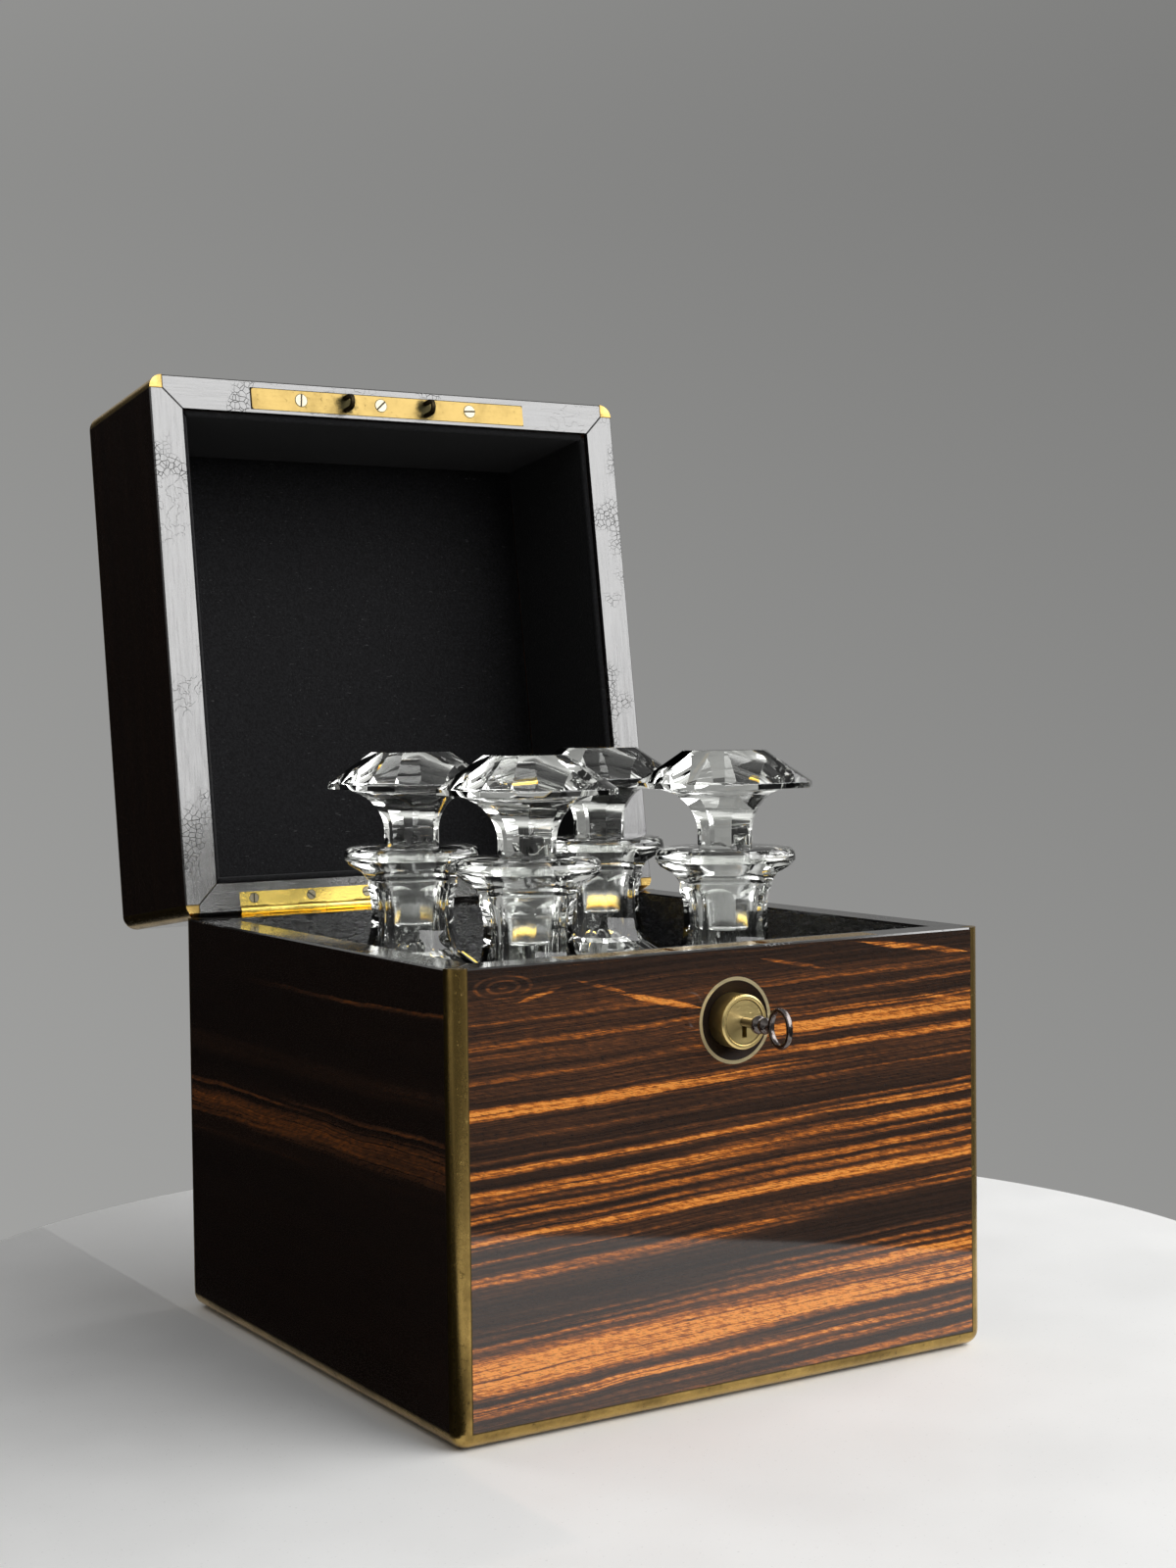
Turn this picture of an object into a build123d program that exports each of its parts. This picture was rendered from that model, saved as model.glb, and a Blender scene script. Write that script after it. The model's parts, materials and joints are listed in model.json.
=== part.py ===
from build123d import *
import math
import os

# A decanter box: a square case veneered in striped dark wood and bound in brass, with a lid that
# locks, and four cut-glass decanters standing in padded compartments.
#
# Millimetres. X runs to the right, Y to the back, Z up. The origin is at the middle of the
# underside. The lid is modelled shut and then swung open about its hinge pins, which is how the
# box rests: lid open, key in the lock, stoppers in the decanters.

# ---- Driving dimensions ----------------------------------------------------------------------

# The box
box_width = 230.0  # left to right
box_depth = 230.0  # front to back
case_height = 161.0  # table to the rim of the case
lid_height = 78.7  # rim of the lid to its top
rim_gap = 0.3  # between the two rims when the box is shut
lid_open_angle = 98.0  # where the lid leans back on its hinges

# Walls and what covers them
wall = 14.0  # board and veneer together, and so the width of the rims
veneer = 1.0
rim_thickness = 3.0  # ebonised facing on top of the boards
rim_chamfer = 0.6
base_board_thickness = 8.0
lid_board_thickness = 5.3
baize_thickness = 1.5
baize_proud = 0.5  # how far the baize stands below the brass
edge_radius = 6.0  # solid quarter-round brass on the edges

# Padding and compartments
floor_pad_thickness = 3.0
side_pad = 13.0  # on the left and right walls
end_pad = 11.0  # on the front and back walls
pad_below_rim = 24.0  # the thick padding stops here
pad_round = 5.0
thin_lining = 1.2  # on the walls above the padding
lining_below_rim = 1.0
divider_thickness = 3.0
divider_below_rim = 34.0
lid_pad_thickness = 2.7
lid_lining = 3.0
lid_lining_setback = 1.6  # from the rim of the lid

# Hinges
hinge_length = 65.4
hinge_offset = 58.3  # middle of each hinge from the middle of the box
knuckle_count = 5
knuckle_radius = 2.2
knuckle_gap = 0.2
hinge_pin_radius = 0.9
pin_setback = 2.2  # pin axis in from the back face
pin_rise = 1.6  # pin axis above the case rim
leaf_width = 7.9
leaf_thickness = 1.5
turn_clearance = 0.25
shaft_clearance = 0.05
case_bevel_width = 1.9
case_bevel_height = 1.0
lid_bevel_width = 2.4
lid_bevel_height = 4.15

# Lock plates, and the eyes that hang from the lid
plate_length = 136.0
plate_width = 9.7
plate_middle = -1.5  # from the middle of the box
plate_setback = 7.85  # middle of the plate from the front face
selvedge_thickness = 1.6
link_plate_thickness = 1.2
eye_places = (-24.0, 16.0)
eye_width = 7.0
eye_wire = 1.6
eye_drop = 8.0
eye_side_clearance = 0.8

# Lock
lock_axis_x = -1.0
lock_axis_below_rim = 26.0
lock_half_width = 44.0
lock_below_axis = 10.5
lock_metal = 0.8
cap_clearance = 0.1
guide_pin_radius = 1.5
guide_pin_places = (-24.0, 22.0)  # from the lock axis
guide_pin_above_axis = 12.0
bolt_travel = 7.0
bolt_thickness = 2.6
bolt_clearance = 0.1
bar_above_axis = 7.1
bar_height = 9.9
hook_post = 4.0
tongue_length = 8.0
tongue_short_of_eye = 2.0
tongue_height = 2.9
tongue_below_selvedge = 0.5
spring_leaf = 0.5
spring_width = 2.4
spring_chord = 10.0
barrel_radius = 6.2
barrel_head_radius = 7.7
barrel_head_length = 7.4
stud_reach = 9.0
stud_width = 2.4
talon_clearance = 0.5

# Boss and ring round the keyhole
boss_radius = 9.7
boss_proud = 6.0
boss_rim = 0.6
recess_radius = 14.2
recess_depth = 2.4
ring_radius = 15.5
ring_depth = 2.0

# Key
key_shank = 1.75  # radius
key_inside = 14.5  # length inside the barrel
key_bit_reach = 5.3
key_bit_thickness = 1.6
key_bit_length = 3.0
key_notch_depth = 1.5
key_slot_clearance = 0.2
collar_from_face = 6.6
collar_length = 7.6
collar_radius = 3.3
bow_from_face = 20.4
bow_half_length = 6.2
bow_half_height = 7.2
bow_metal = 1.8
bow_half_width = 1.1
key_chamfer = 0.5

# Decanters
compartment_clearance = 1.25
decanter_stands_clear = 0.3
glass_wall = 6.0
glass_base = 14.0
body_corner_cut = 13.0
well_corner_cut = 9.0  # inside
shoulder_below_rim = 34.0
neck_root_below_rim = 13.0
neck_root = 18.5  # half across the flats
neck_waist = 15.3
neck_waist_above_rim = 4.0
neck_top = 15.9
neck_top_below_lip = 19.0
neck_arch = 4.2  # height of the arches that end the flats
neck_round = 18.0  # radius that the arches run out on
neck_round_below_lip = 13.4
lip_above_rim = 30.2
lip_radius = 27.3
lip_round = 3.2  # of the lip's upper edge, ground in flats
lip_round_flats = 3
lip_edge_depth = 5.0
lip_foot_depth = 7.2
lip_foot_inset = 1.8
flare_radius = 20.4  # where the underside of the lip runs into the neck
flare_below_lip = 10.2
neck_bore_top = 10.6
neck_bore_foot = 8.8
ground_sides = 40  # the ground bore and peg are as good as round

# Stoppers
stopper_clearance = 2.0  # below the lid's padding when the box is shut
stopper_across = 55.6  # across the flats of the square head
stopper_corner_cut = 8.1
table_share = 0.47  # of the head's width
crown_height = 12.4
girdle = 2.2
girdle_flat = 0.6  # under the edge, outside the hollow flutes
shaft_half = 10.1
peg_clearance = 0.1
peg_below_rim = 2.0
peg_above_lip = 2.0
peg_round = 1.0

# ---- Worked out from them --------------------------------------------------------------------

half_width = box_width / 2
half_depth = box_depth / 2
inner_x = half_width - wall
inner_y = half_depth - wall
case_foot = baize_proud  # underside of the brass
board_foot = baize_thickness
floor = board_foot + base_board_thickness
pad_floor = floor + floor_pad_thickness
board_top = case_height - rim_thickness
lid_foot = case_height + rim_gap  # rim of the shut lid
lid_top = lid_foot + lid_height
lid_board_foot = lid_foot + rim_thickness
lid_panel_top = lid_top - veneer
lid_panel_foot = lid_panel_top - lid_board_thickness
lid_pad_foot = lid_panel_foot - lid_pad_thickness

pin_y = half_depth - pin_setback
pin_z = case_height + pin_rise
hinge_axis = Axis((0, pin_y, pin_z), (-1, 0, 0))
hinge_places = (-hinge_offset, hinge_offset)
knuckle_length = hinge_length / knuckle_count

plate_y = plate_setback - half_depth
lock_axis_z = case_height - lock_axis_below_rim
lock_front = plate_y - plate_width / 2
lock_back = plate_y + plate_width / 2
lock_foot = lock_axis_z - lock_below_axis
lock_roof = case_height - selvedge_thickness
boss_face = -half_depth - boss_proud
tongue_top = lock_roof - tongue_below_selvedge
bar_foot = lock_axis_z + bar_above_axis
bar_top = bar_foot + bar_height

compartment_x = (2 * inner_x - 2 * side_pad - divider_thickness) / 2
compartment_y = (2 * inner_y - 2 * end_pad - divider_thickness) / 2
decanter_side = min(compartment_x, compartment_y) - 2 * compartment_clearance
decanter_x = (compartment_x + divider_thickness) / 2
decanter_y = (compartment_y + divider_thickness) / 2
decanter_foot = pad_floor + decanter_stands_clear
shoulder_z = case_height - shoulder_below_rim
neck_root_z = case_height - neck_root_below_rim
neck_waist_z = case_height + neck_waist_above_rim
lip_z = case_height + lip_above_rim
neck_top_z = lip_z - neck_top_below_lip
peg_foot = case_height - peg_below_rim
peg_top = lip_z + peg_above_lip
table_z = lid_pad_foot - stopper_clearance
girdle_z = table_z - crown_height

turns = {"front": 0, "right": 90, "back": 180, "left": 270}  # about Z, from the front

parts = {}


# ---- Shared shapes ---------------------------------------------------------------------------


def block(x, y, z):
    """Box between the pairs of limits x, y and z."""
    size = (x[1] - x[0], y[1] - y[0], z[1] - z[0])
    return Pos(x[0], y[0], z[0]) * Box(*size, align=(Align.MIN, Align.MIN, Align.MIN))


def ring(outer_inset, inner_inset, z):
    """Square tube between two insets from the faces of the box."""
    outer_x = half_width - outer_inset
    outer_y = half_depth - outer_inset
    hole_x = half_width - inner_inset
    hole_y = half_depth - inner_inset
    outside = block((-outer_x, outer_x), (-outer_y, outer_y), z)
    return outside - block((-hole_x, hole_x), (-hole_y, hole_y), z)


def side_sizes(side):
    """Half the length of a side, and how far its face is from the middle."""
    if side in ("front", "back"):
        return half_width, half_depth
    return half_depth, half_width


def mitred(side, z):
    """Prism over one side of the box that ends in a 45 degree mitre at each corner."""
    half_length, face = side_sizes(side)
    reach = 2 * wall
    outline = Polygon(
        (-half_length, -face),
        (half_length, -face),
        (half_length - reach, reach - face),
        (reach - half_length, reach - face),
        align=None,
    )
    prism = Pos(0, 0, z[0]) * extrude(outline, z[1] - z[0])
    return Rot(0, 0, turns[side]) * prism


def sheet(side, z):
    """Veneer on one side, between the brass strips at its two corners."""
    half_length, face = side_sizes(side)
    reach = half_length - edge_radius
    return Rot(0, 0, turns[side]) * block((-reach, reach), (-face, veneer - face), z)


def solids_of(*shapes):
    """One group of separate solids."""
    return Compound([solid for shape in shapes for solid in shape.solids()])


def along_y(outline, y):
    """Outline drawn in X and Z, made solid between two values of Y."""
    return extrude(Plane.XZ.offset(-y[0]) * outline, y[1] - y[0], dir=(0, 1, 0))


def along_x(outline, x):
    """Outline drawn in Y and Z, made solid between two values of X."""
    return extrude(Plane.YZ.offset(x[0]) * outline, x[1] - x[0], dir=(1, 0, 0))


def rod_x(radius, y, z, x):
    """Round bar along X."""
    return along_x(Pos(y, z) * Circle(radius), x)


def turned_on_lock(*outline):
    """Shape turned on the lock's axis, from points of radius and Y."""
    shape = revolve(Polygon(*outline, align=None), Axis.Y)
    return Pos(lock_axis_x, 0, lock_axis_z) * shape


def opened(shape):
    """The lid's pieces swung back from shut to where they rest."""
    return shape.rotate(hinge_axis, lid_open_angle)


# ---- Brass edging ----------------------------------------------------------------------------


def rounded_block(z_rim, z_flat):
    """The box's block with its upright edges and those of its flat end rounded."""
    z = (min(z_flat, z_rim), max(z_flat, z_rim))
    solid = block((-half_width, half_width), (-half_depth, half_depth), z)
    upright = solid.edges().filter_by(Axis.Z)
    ends = solid.faces().sort_by(Axis.Z)
    flat = ends[0] if z_flat < z_rim else ends[-1]
    return fillet(upright + flat.edges(), edge_radius)


def corner_zones(z_rim, z_flat):
    """Rebates down the four upright corners."""
    start = z_flat + edge_radius if z_flat < z_rim else z_flat - edge_radius
    z = (min(start, z_rim), max(start, z_rim))
    zones = []
    for x in (-half_width, half_width - edge_radius):
        for y in (-half_depth, half_depth - edge_radius):
            zones.append(block((x, x + edge_radius), (y, y + edge_radius), z))
    return zones


def edge_zones(z_rim, z_flat):
    """Rebates round the flat end, mitred together at the corners."""
    start = z_flat + edge_radius if z_flat < z_rim else z_flat - edge_radius
    z = (min(start, z_flat), max(start, z_flat))
    band = ring(0, edge_radius, z)
    return [band & mitred(side, z) for side in turns]


def strips(zones, z_rim, z_flat):
    """Brass strips that fill their rebates and are rounded outside."""
    solid = rounded_block(z_rim, z_flat)
    return solids_of(*(solid & zone for zone in zones))


case_ends = (case_height, case_foot)
lid_ends = (lid_foot, lid_top)
case_corner_strips = strips(corner_zones(*case_ends), *case_ends)
lid_corner_strips = strips(corner_zones(*lid_ends), *lid_ends)
case_seats = corner_zones(*case_ends) + edge_zones(*case_ends)
lid_seats = corner_zones(*lid_ends) + edge_zones(*lid_ends)

# ---- Cuts for the hinges ---------------------------------------------------------------------


def back_bevel(width, height, z):
    """Wedge cut along a back edge at the rim, so that the open lid clears the case."""
    outline = Polygon(
        (half_depth - width, z),
        (half_depth + 1, z),
        (half_depth + 1, z + height * (width + 1) / width),
        align=None,
    )
    return along_x(outline, (-half_width - 1, half_width + 1))


case_bevel = back_bevel(case_bevel_width, -case_bevel_height, case_height)
lid_bevel = back_bevel(lid_bevel_width, lid_bevel_height, lid_foot)


def leaf_seat(place, z):
    """Shallow housing for a leaf, in a rim."""
    x = (place - hinge_length / 2, place + hinge_length / 2)
    return block(x, (pin_y - leaf_width, pin_y), z)


def knuckle_groove(place, first=0, count=knuckle_count):
    """Round groove that clears some of a hinge's knuckles."""
    start = place - hinge_length / 2 + first * knuckle_length
    end = start + count * knuckle_length
    return rod_x(knuckle_radius + turn_clearance, pin_y, pin_z, (start, end))


grooves = [knuckle_groove(place) for place in hinge_places]
case_leaf_z = (case_height - leaf_thickness, case_height)
lid_leaf_z = (lid_foot, lid_foot + leaf_thickness)
case_leaf_seats = [leaf_seat(place, case_leaf_z) for place in hinge_places]
lid_leaf_seats = [leaf_seat(place, lid_leaf_z) for place in hinge_places]

# ---- Lock case and its mortise ---------------------------------------------------------------

plate_x = (plate_middle - plate_length / 2, plate_middle + plate_length / 2)
lock_x = (lock_axis_x - lock_half_width, lock_axis_x + lock_half_width)
selvedge_seat = block(plate_x, (lock_front, lock_back), (lock_roof, case_height))
mortise = block(lock_x, (lock_front, lock_back), (lock_foot, lock_roof))
boss_hole = turned_on_lock(
    (0, lock_front),
    (0, -half_depth),
    (ring_radius, -half_depth),
    (ring_radius, ring_depth - half_depth),
    (recess_radius, ring_depth - half_depth),
    (recess_radius, lock_front),
)


def guide_pins():
    """Two posts that the bolt slides on."""
    z = lock_axis_z + guide_pin_above_axis
    y = (lock_front, lock_back - lock_metal)
    pin = along_y(Circle(guide_pin_radius), y)
    return [Pos(lock_axis_x + place, 0, z) * pin for place in guide_pin_places]


def lock_case():
    """Thin box hung under the selvedge plate, open at the back, with the bolt's guide pins."""
    hollow = block(
        (lock_x[0] + lock_metal, lock_x[1] - lock_metal),
        (lock_front + lock_metal, lock_back),
        (lock_foot + lock_metal, lock_roof),
    )
    shape = mortise - hollow + selvedge_seat
    for place in eye_places:
        half = eye_wire / 2 + eye_side_clearance
        y = (lock_front + lock_metal, lock_back - lock_metal)
        shape -= block((place - half, place + half), y, (lock_roof, case_height))
    hole = barrel_radius + shaft_clearance
    shape -= turned_on_lock((0, lock_front), (hole, lock_front), (hole, lock_back), (0, lock_back))
    for pin in guide_pins():
        shape += pin
    return shape


def lock_cap():
    """Cover on the back of the lock case, let in between its walls."""
    gap = lock_metal + cap_clearance
    return block(
        (lock_x[0] + gap, lock_x[1] - gap),
        (lock_back - lock_metal, lock_back),
        (lock_foot + gap, lock_roof - cap_clearance),
    )


parts["lock_case"] = lock_case()
parts["lock_cap"] = lock_cap()

# ---- Case: boards, veneers, rim --------------------------------------------------------------


def cut(shape, *tools):
    """Shape less each tool."""
    for tool in tools:
        shape -= tool
    return shape


base_x = half_width - veneer
base_y = half_depth - veneer
base = block((-base_x, base_x), (-base_y, base_y), (board_foot, floor))
parts["base_board"] = cut(base, *case_seats)

board_z = (floor, board_top)
for side in turns:
    board = cut(ring(veneer, wall, board_z) & mitred(side, board_z), *case_seats)
    if side == "front":
        board = cut(board, mortise, boss_hole)
    parts[f"{side}_board"] = board

veneer_z = (case_foot + edge_radius, board_top)
for side in turns:
    face = sheet(side, veneer_z)
    if side == "front":
        face = cut(face, boss_hole)
    parts[f"{side}_veneer"] = face


def rim(z, top):
    """Ebonised facings round a rim, chamfered outside and mitred at the corners."""
    frame = ring(0, wall, z)
    faces = frame.faces().sort_by(Axis.Z)
    edges = (faces[-1] if top else faces[0]).outer_wire().edges()
    frame = chamfer(edges, rim_chamfer)
    return [frame & mitred(side, z) for side in turns]


case_rim_cuts = [*case_seats, selvedge_seat, mortise, case_bevel]
case_rim_cuts += [*case_leaf_seats, *grooves]
case_rim = [cut(piece, *case_rim_cuts) for piece in rim((board_top, case_height), True)]
parts["case_rim"] = solids_of(*case_rim)
parts["case_corner_strips"] = solids_of(cut(case_corner_strips, case_bevel))
parts["base_edge_strips"] = strips(edge_zones(*case_ends), *case_ends)

baize_x = half_width - edge_radius
baize_y = half_depth - edge_radius
parts["base_baize"] = block((-baize_x, baize_x), (-baize_y, baize_y), (0, baize_thickness))

# ---- Case: padding and divider ---------------------------------------------------------------


def lining(pad, face, half_length):
    """Padded lining of one wall: thick below, thin above, rounded between."""
    shoulder = case_height - pad_below_rim
    top = case_height - lining_below_rim
    with BuildSketch(Plane.YZ) as section:
        with BuildLine():
            Polyline(
                (-face, pad_floor),
                (pad - face, pad_floor),
                (pad - face, shoulder - pad_round),
            )
            RadiusArc(
                (pad - face, shoulder - pad_round),
                (pad - face - pad_round, shoulder),
                -pad_round,
            )
            Polyline(
                (pad - face - pad_round, shoulder),
                (thin_lining - face, shoulder),
                (thin_lining - face, top),
                (-face, top),
                (-face, pad_floor),
            )
        make_face()
    return extrude(section.sketch, half_length, both=True)


for side in turns:
    across = side in ("front", "back")
    if across:
        shape = lining(end_pad, inner_y, inner_x)
    else:
        shape = lining(side_pad, inner_x, inner_y)
    shape = Rot(0, 0, turns[side]) * shape
    parts[f"{side}_lining"] = shape

for side in ("left", "right"):
    shape = parts[f"{side}_lining"]
    parts[f"{side}_lining"] = cut(shape, parts["front_lining"], parts["back_lining"])

parts["floor_pad"] = block((-inner_x, inner_x), (-inner_y, inner_y), (floor, pad_floor))


def divider():
    """Two thin boards halved together into a cross between the four compartments."""
    half = divider_thickness / 2
    top = case_height - divider_below_rim
    middle = (pad_floor + top) / 2
    reach_x = inner_x - side_pad
    reach_y = inner_y - end_pad
    long_board = block((-reach_x, reach_x), (-half, half), (pad_floor, top))
    long_board -= block((-half, half), (-half, half), (middle, top))
    cross_board = block((-half, half), (-reach_y, reach_y), (pad_floor, top))
    cross_board -= block((-half, half), (-half, half), (pad_floor, middle))
    return solids_of(long_board, cross_board)


parts["divider"] = divider()

# ---- Keyhole: ring, recess, boss, barrel -----------------------------------------------------

face_y = -half_depth
parts["keyhole_ring"] = turned_on_lock(
    (recess_radius, face_y),
    (ring_radius, face_y),
    (ring_radius, face_y + ring_depth),
    (recess_radius, face_y + ring_depth),
)


def keyhole_recess():
    """Dark wooden dish round the boss, hollowed from its edge towards the boss."""
    return turned_on_lock(
        (boss_radius, face_y + recess_depth),
        (boss_radius, lock_front),
        (recess_radius, lock_front),
        (recess_radius, face_y),
    )


def lock_boss():
    """Brass sleeve that stands out of the front, with a bead round its open end."""
    bore = barrel_head_radius + shaft_clearance
    return turned_on_lock(
        (bore, boss_face + boss_rim),
        (bore, lock_front),
        (boss_radius, lock_front),
        (boss_radius, boss_face + boss_rim),
        (boss_radius - boss_rim, boss_face),
        (bore + boss_rim, boss_face),
    )


barrel_face = boss_face + boss_rim
barrel_step = barrel_face + barrel_head_length
barrel_end = lock_back - lock_metal - turn_clearance
key_end = boss_face + key_inside
bolt_y = (plate_y - bolt_thickness / 2, plate_y + bolt_thickness / 2)


def lock_barrel():
    """Revolving barrel: keyhole through its head, and a stud behind that throws the bolt."""
    shape = turned_on_lock(
        (0, barrel_face),
        (barrel_head_radius, barrel_face),
        (barrel_head_radius, barrel_step),
        (barrel_radius, barrel_step),
        (barrel_radius, barrel_end),
        (0, barrel_end),
    )
    end = key_end + key_slot_clearance
    bore = key_shank + shaft_clearance
    shape -= turned_on_lock((0, barrel_face), (bore, barrel_face), (bore, end), (0, end))
    half_slot = key_bit_thickness / 2 + key_slot_clearance
    reach = key_bit_reach + key_slot_clearance
    slot = block((-half_slot, half_slot), (barrel_face, end), (-reach, 0))
    shape -= Pos(lock_axis_x, 0, lock_axis_z) * slot
    root = reach + key_slot_clearance
    stud = block((-stud_width / 2, stud_width / 2), bolt_y, (-stud_reach, -root))
    return shape + Pos(lock_axis_x, 0, lock_axis_z) * stud


parts["keyhole_recess"] = keyhole_recess()
parts["lock_boss"] = lock_boss()
parts["lock_barrel"] = lock_barrel()

# ---- Bolt and its spring ---------------------------------------------------------------------


def hook(place):
    """Post and tongue that pass through one eye."""
    tip = place - tongue_short_of_eye
    root = tip - tongue_length
    tongue_foot = tongue_top - tongue_height
    post = block((root - hook_post, root), bolt_y, (bar_top, tongue_top))
    return post + block((root, tip), bolt_y, (tongue_foot, tongue_top))


def bolt():
    """Flat bar with two hooks, slotted for its guide pins and notched for the barrel's stud."""
    start = eye_places[0] - tongue_short_of_eye - tongue_length - hook_post
    end = eye_places[1] + 2 * bolt_travel
    shape = block((start, end), bolt_y, (bar_foot, bar_top))
    for place in eye_places:
        shape += hook(place)
    slot_radius = guide_pin_radius + bolt_clearance
    for place in guide_pin_places:
        x = lock_axis_x + place - bolt_travel / 2
        slot = SlotCenterToCenter(bolt_travel, 2 * slot_radius)
        z = lock_axis_z + guide_pin_above_axis
        shape -= along_y(Pos(x, z) * slot, bolt_y)
    # The stud crosses the bar's lower edge while it is within this angle of upright.
    angle = math.acos(bar_above_axis / stud_reach)
    talon = stud_reach * math.sin(angle) + stud_width / 2 + talon_clearance
    middle = lock_axis_x - bolt_travel / 2
    roof = lock_axis_z + stud_reach + talon_clearance
    return shape - block((middle - talon, middle + talon), bolt_y, (bar_foot, roof))


def bolt_spring():
    """Bowed leaf on top of the bolt that rubs on the selvedge plate and steadies the bolt."""
    start = eye_places[1] + bolt_travel / 2
    crown = lock_roof - cap_clearance
    end = start + spring_chord
    middle = (start + end) / 2
    with BuildSketch() as section:
        with BuildLine():
            ThreePointArc((start, bar_top), (middle, crown), (end, bar_top))
            Line((end, bar_top), (end - spring_leaf, bar_top))
            ThreePointArc(
                (end - spring_leaf, bar_top),
                (middle, crown - spring_leaf),
                (start + spring_leaf, bar_top),
            )
            Line((start + spring_leaf, bar_top), (start, bar_top))
        make_face()
    y = (plate_y - spring_width / 2, plate_y + spring_width / 2)
    return along_y(section.sketch, y)


parts["bolt"] = bolt()
parts["bolt_spring"] = bolt_spring()

# ---- Key -------------------------------------------------------------------------------------


def key():
    """Slender key: pin and bit, turned collars, oval bow."""
    near = boss_face - collar_from_face
    waist = near - collar_length / 2
    far = near - collar_length
    bow_y = boss_face - bow_from_face
    bow_near = bow_y + bow_half_length - bow_metal
    shape = turned_on_lock(
        (0, key_end),
        (key_shank - key_chamfer, key_end),
        (key_shank, key_end - key_chamfer),
        (key_shank, near),
        (collar_radius, near - key_chamfer),
        (collar_radius, waist + key_chamfer),
        (key_shank + key_chamfer, waist),
        (collar_radius - key_chamfer, waist - key_chamfer),
        (collar_radius - key_chamfer, far + key_chamfer),
        (key_shank, far),
        (key_shank, bow_near + key_chamfer),
        (0, bow_near + key_chamfer),
    )
    bow = Ellipse(bow_half_length, bow_half_height)
    bow -= Ellipse(bow_half_length - bow_metal, bow_half_height - bow_metal)
    bow = along_x(Pos(bow_y, lock_axis_z) * bow, (-bow_half_width, bow_half_width))
    shape += Pos(lock_axis_x, 0, 0) * bow
    half = key_bit_thickness / 2
    bit_end = key_end - key_chamfer
    bit = block((-half, half), (bit_end - key_bit_length, bit_end), (-key_bit_reach, -key_shank / 2))
    third = key_bit_length / 3
    notch = (bit_end - 2 * third, bit_end - third)
    bit -= block((-half, half), notch, (-key_bit_reach, key_notch_depth - key_bit_reach))
    return shape + Pos(lock_axis_x, 0, lock_axis_z) * bit


parts["key"] = key()

# ---- Hinges ----------------------------------------------------------------------------------


def leaf(place, seat, first):
    """Leaf with every second knuckle, starting from the first or the second."""
    shape = seat
    start = place - hinge_length / 2
    for n in range(knuckle_count):
        x = (start + n * knuckle_length, start + (n + 1) * knuckle_length)
        if n % 2 == first:
            inside = (x[0] + knuckle_gap / 2, x[1] - knuckle_gap / 2)
            shape += rod_x(knuckle_radius, pin_y, pin_z, inside)
        else:
            shape -= knuckle_groove(place, n, 1)
    bore = hinge_pin_radius + shaft_clearance
    return shape - rod_x(bore, pin_y, pin_z, (start, start + hinge_length))


pairs = zip(hinge_places, case_leaf_seats)
parts["case_hinge_leaves"] = solids_of(*(leaf(place, seat, 0) for place, seat in pairs))
half_pin = hinge_length / 2 - knuckle_gap
pins = [rod_x(hinge_pin_radius, pin_y, pin_z, (x - half_pin, x + half_pin)) for x in hinge_places]
parts["hinge_pins"] = solids_of(*pins)

# ---- Lid -------------------------------------------------------------------------------------

lid_parts = {}
panel = block((-base_x, base_x), (-base_y, base_y), (lid_panel_foot, lid_panel_top))
lid_parts["lid_top_board"] = cut(panel, *lid_seats)

lid_wall_z = (lid_board_foot, lid_panel_foot)
lid_walls = []
for side in turns:
    board = cut(ring(veneer, wall, lid_wall_z) & mitred(side, lid_wall_z), *lid_seats)
    if side == "back":
        board = cut(board, lid_bevel, *grooves)
    lid_walls.append(board)
lid_parts["lid_walls"] = solids_of(*lid_walls)

lid_veneer_z = (lid_board_foot, lid_top - edge_radius)
for side in turns:
    face = sheet(side, lid_veneer_z)
    if side == "back":
        face = cut(face, lid_bevel, *grooves)
    lid_parts[f"lid_{side}_veneer"] = face
lid_parts["lid_top_veneer"] = block((-baize_x, baize_x), (-baize_y, baize_y), (lid_panel_top, lid_top))

plate_y_limits = (lock_front, lock_back)
link_seat = block(plate_x, plate_y_limits, (lid_foot, lid_foot + link_plate_thickness))
eye_foot = lid_foot - eye_drop
eye_top = lid_foot + link_plate_thickness


def link_eye(place):
    """Round-bottomed loop that hangs from the link plate, riveted through it."""
    radius = eye_width / 2
    middle = eye_foot + radius
    outside = Pos(plate_y, middle) * Circle(radius)
    outside += Pos(plate_y, (middle + eye_top) / 2) * Rectangle(eye_width, eye_top - middle)
    inner = radius - eye_wire
    inside = Pos(plate_y, middle) * Circle(inner)
    inside += Pos(plate_y, (middle + eye_top) / 2) * Rectangle(2 * inner, eye_top - middle)
    return along_x(outside - inside, (place - eye_wire / 2, place + eye_wire / 2))


link_eyes = [link_eye(place) for place in eye_places]
lid_parts["link_plate"] = cut(link_seat, *link_eyes)
lid_parts["link_eyes"] = solids_of(*link_eyes)

lid_rim_cuts = [*lid_seats, link_seat, lid_bevel]
lid_rim_cuts += [*lid_leaf_seats, *grooves]
lid_rim = [cut(piece, *lid_rim_cuts) for piece in rim((lid_foot, lid_board_foot), False)]
lid_parts["lid_rim"] = solids_of(*lid_rim)
lid_parts["lid_corner_strips"] = solids_of(cut(lid_corner_strips, lid_bevel))
lid_parts["lid_edge_strips"] = strips(edge_zones(*lid_ends), *lid_ends)

pairs = zip(hinge_places, lid_leaf_seats)
lid_parts["lid_hinge_leaves"] = solids_of(*(leaf(place, seat, 1) for place, seat in pairs))

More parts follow.
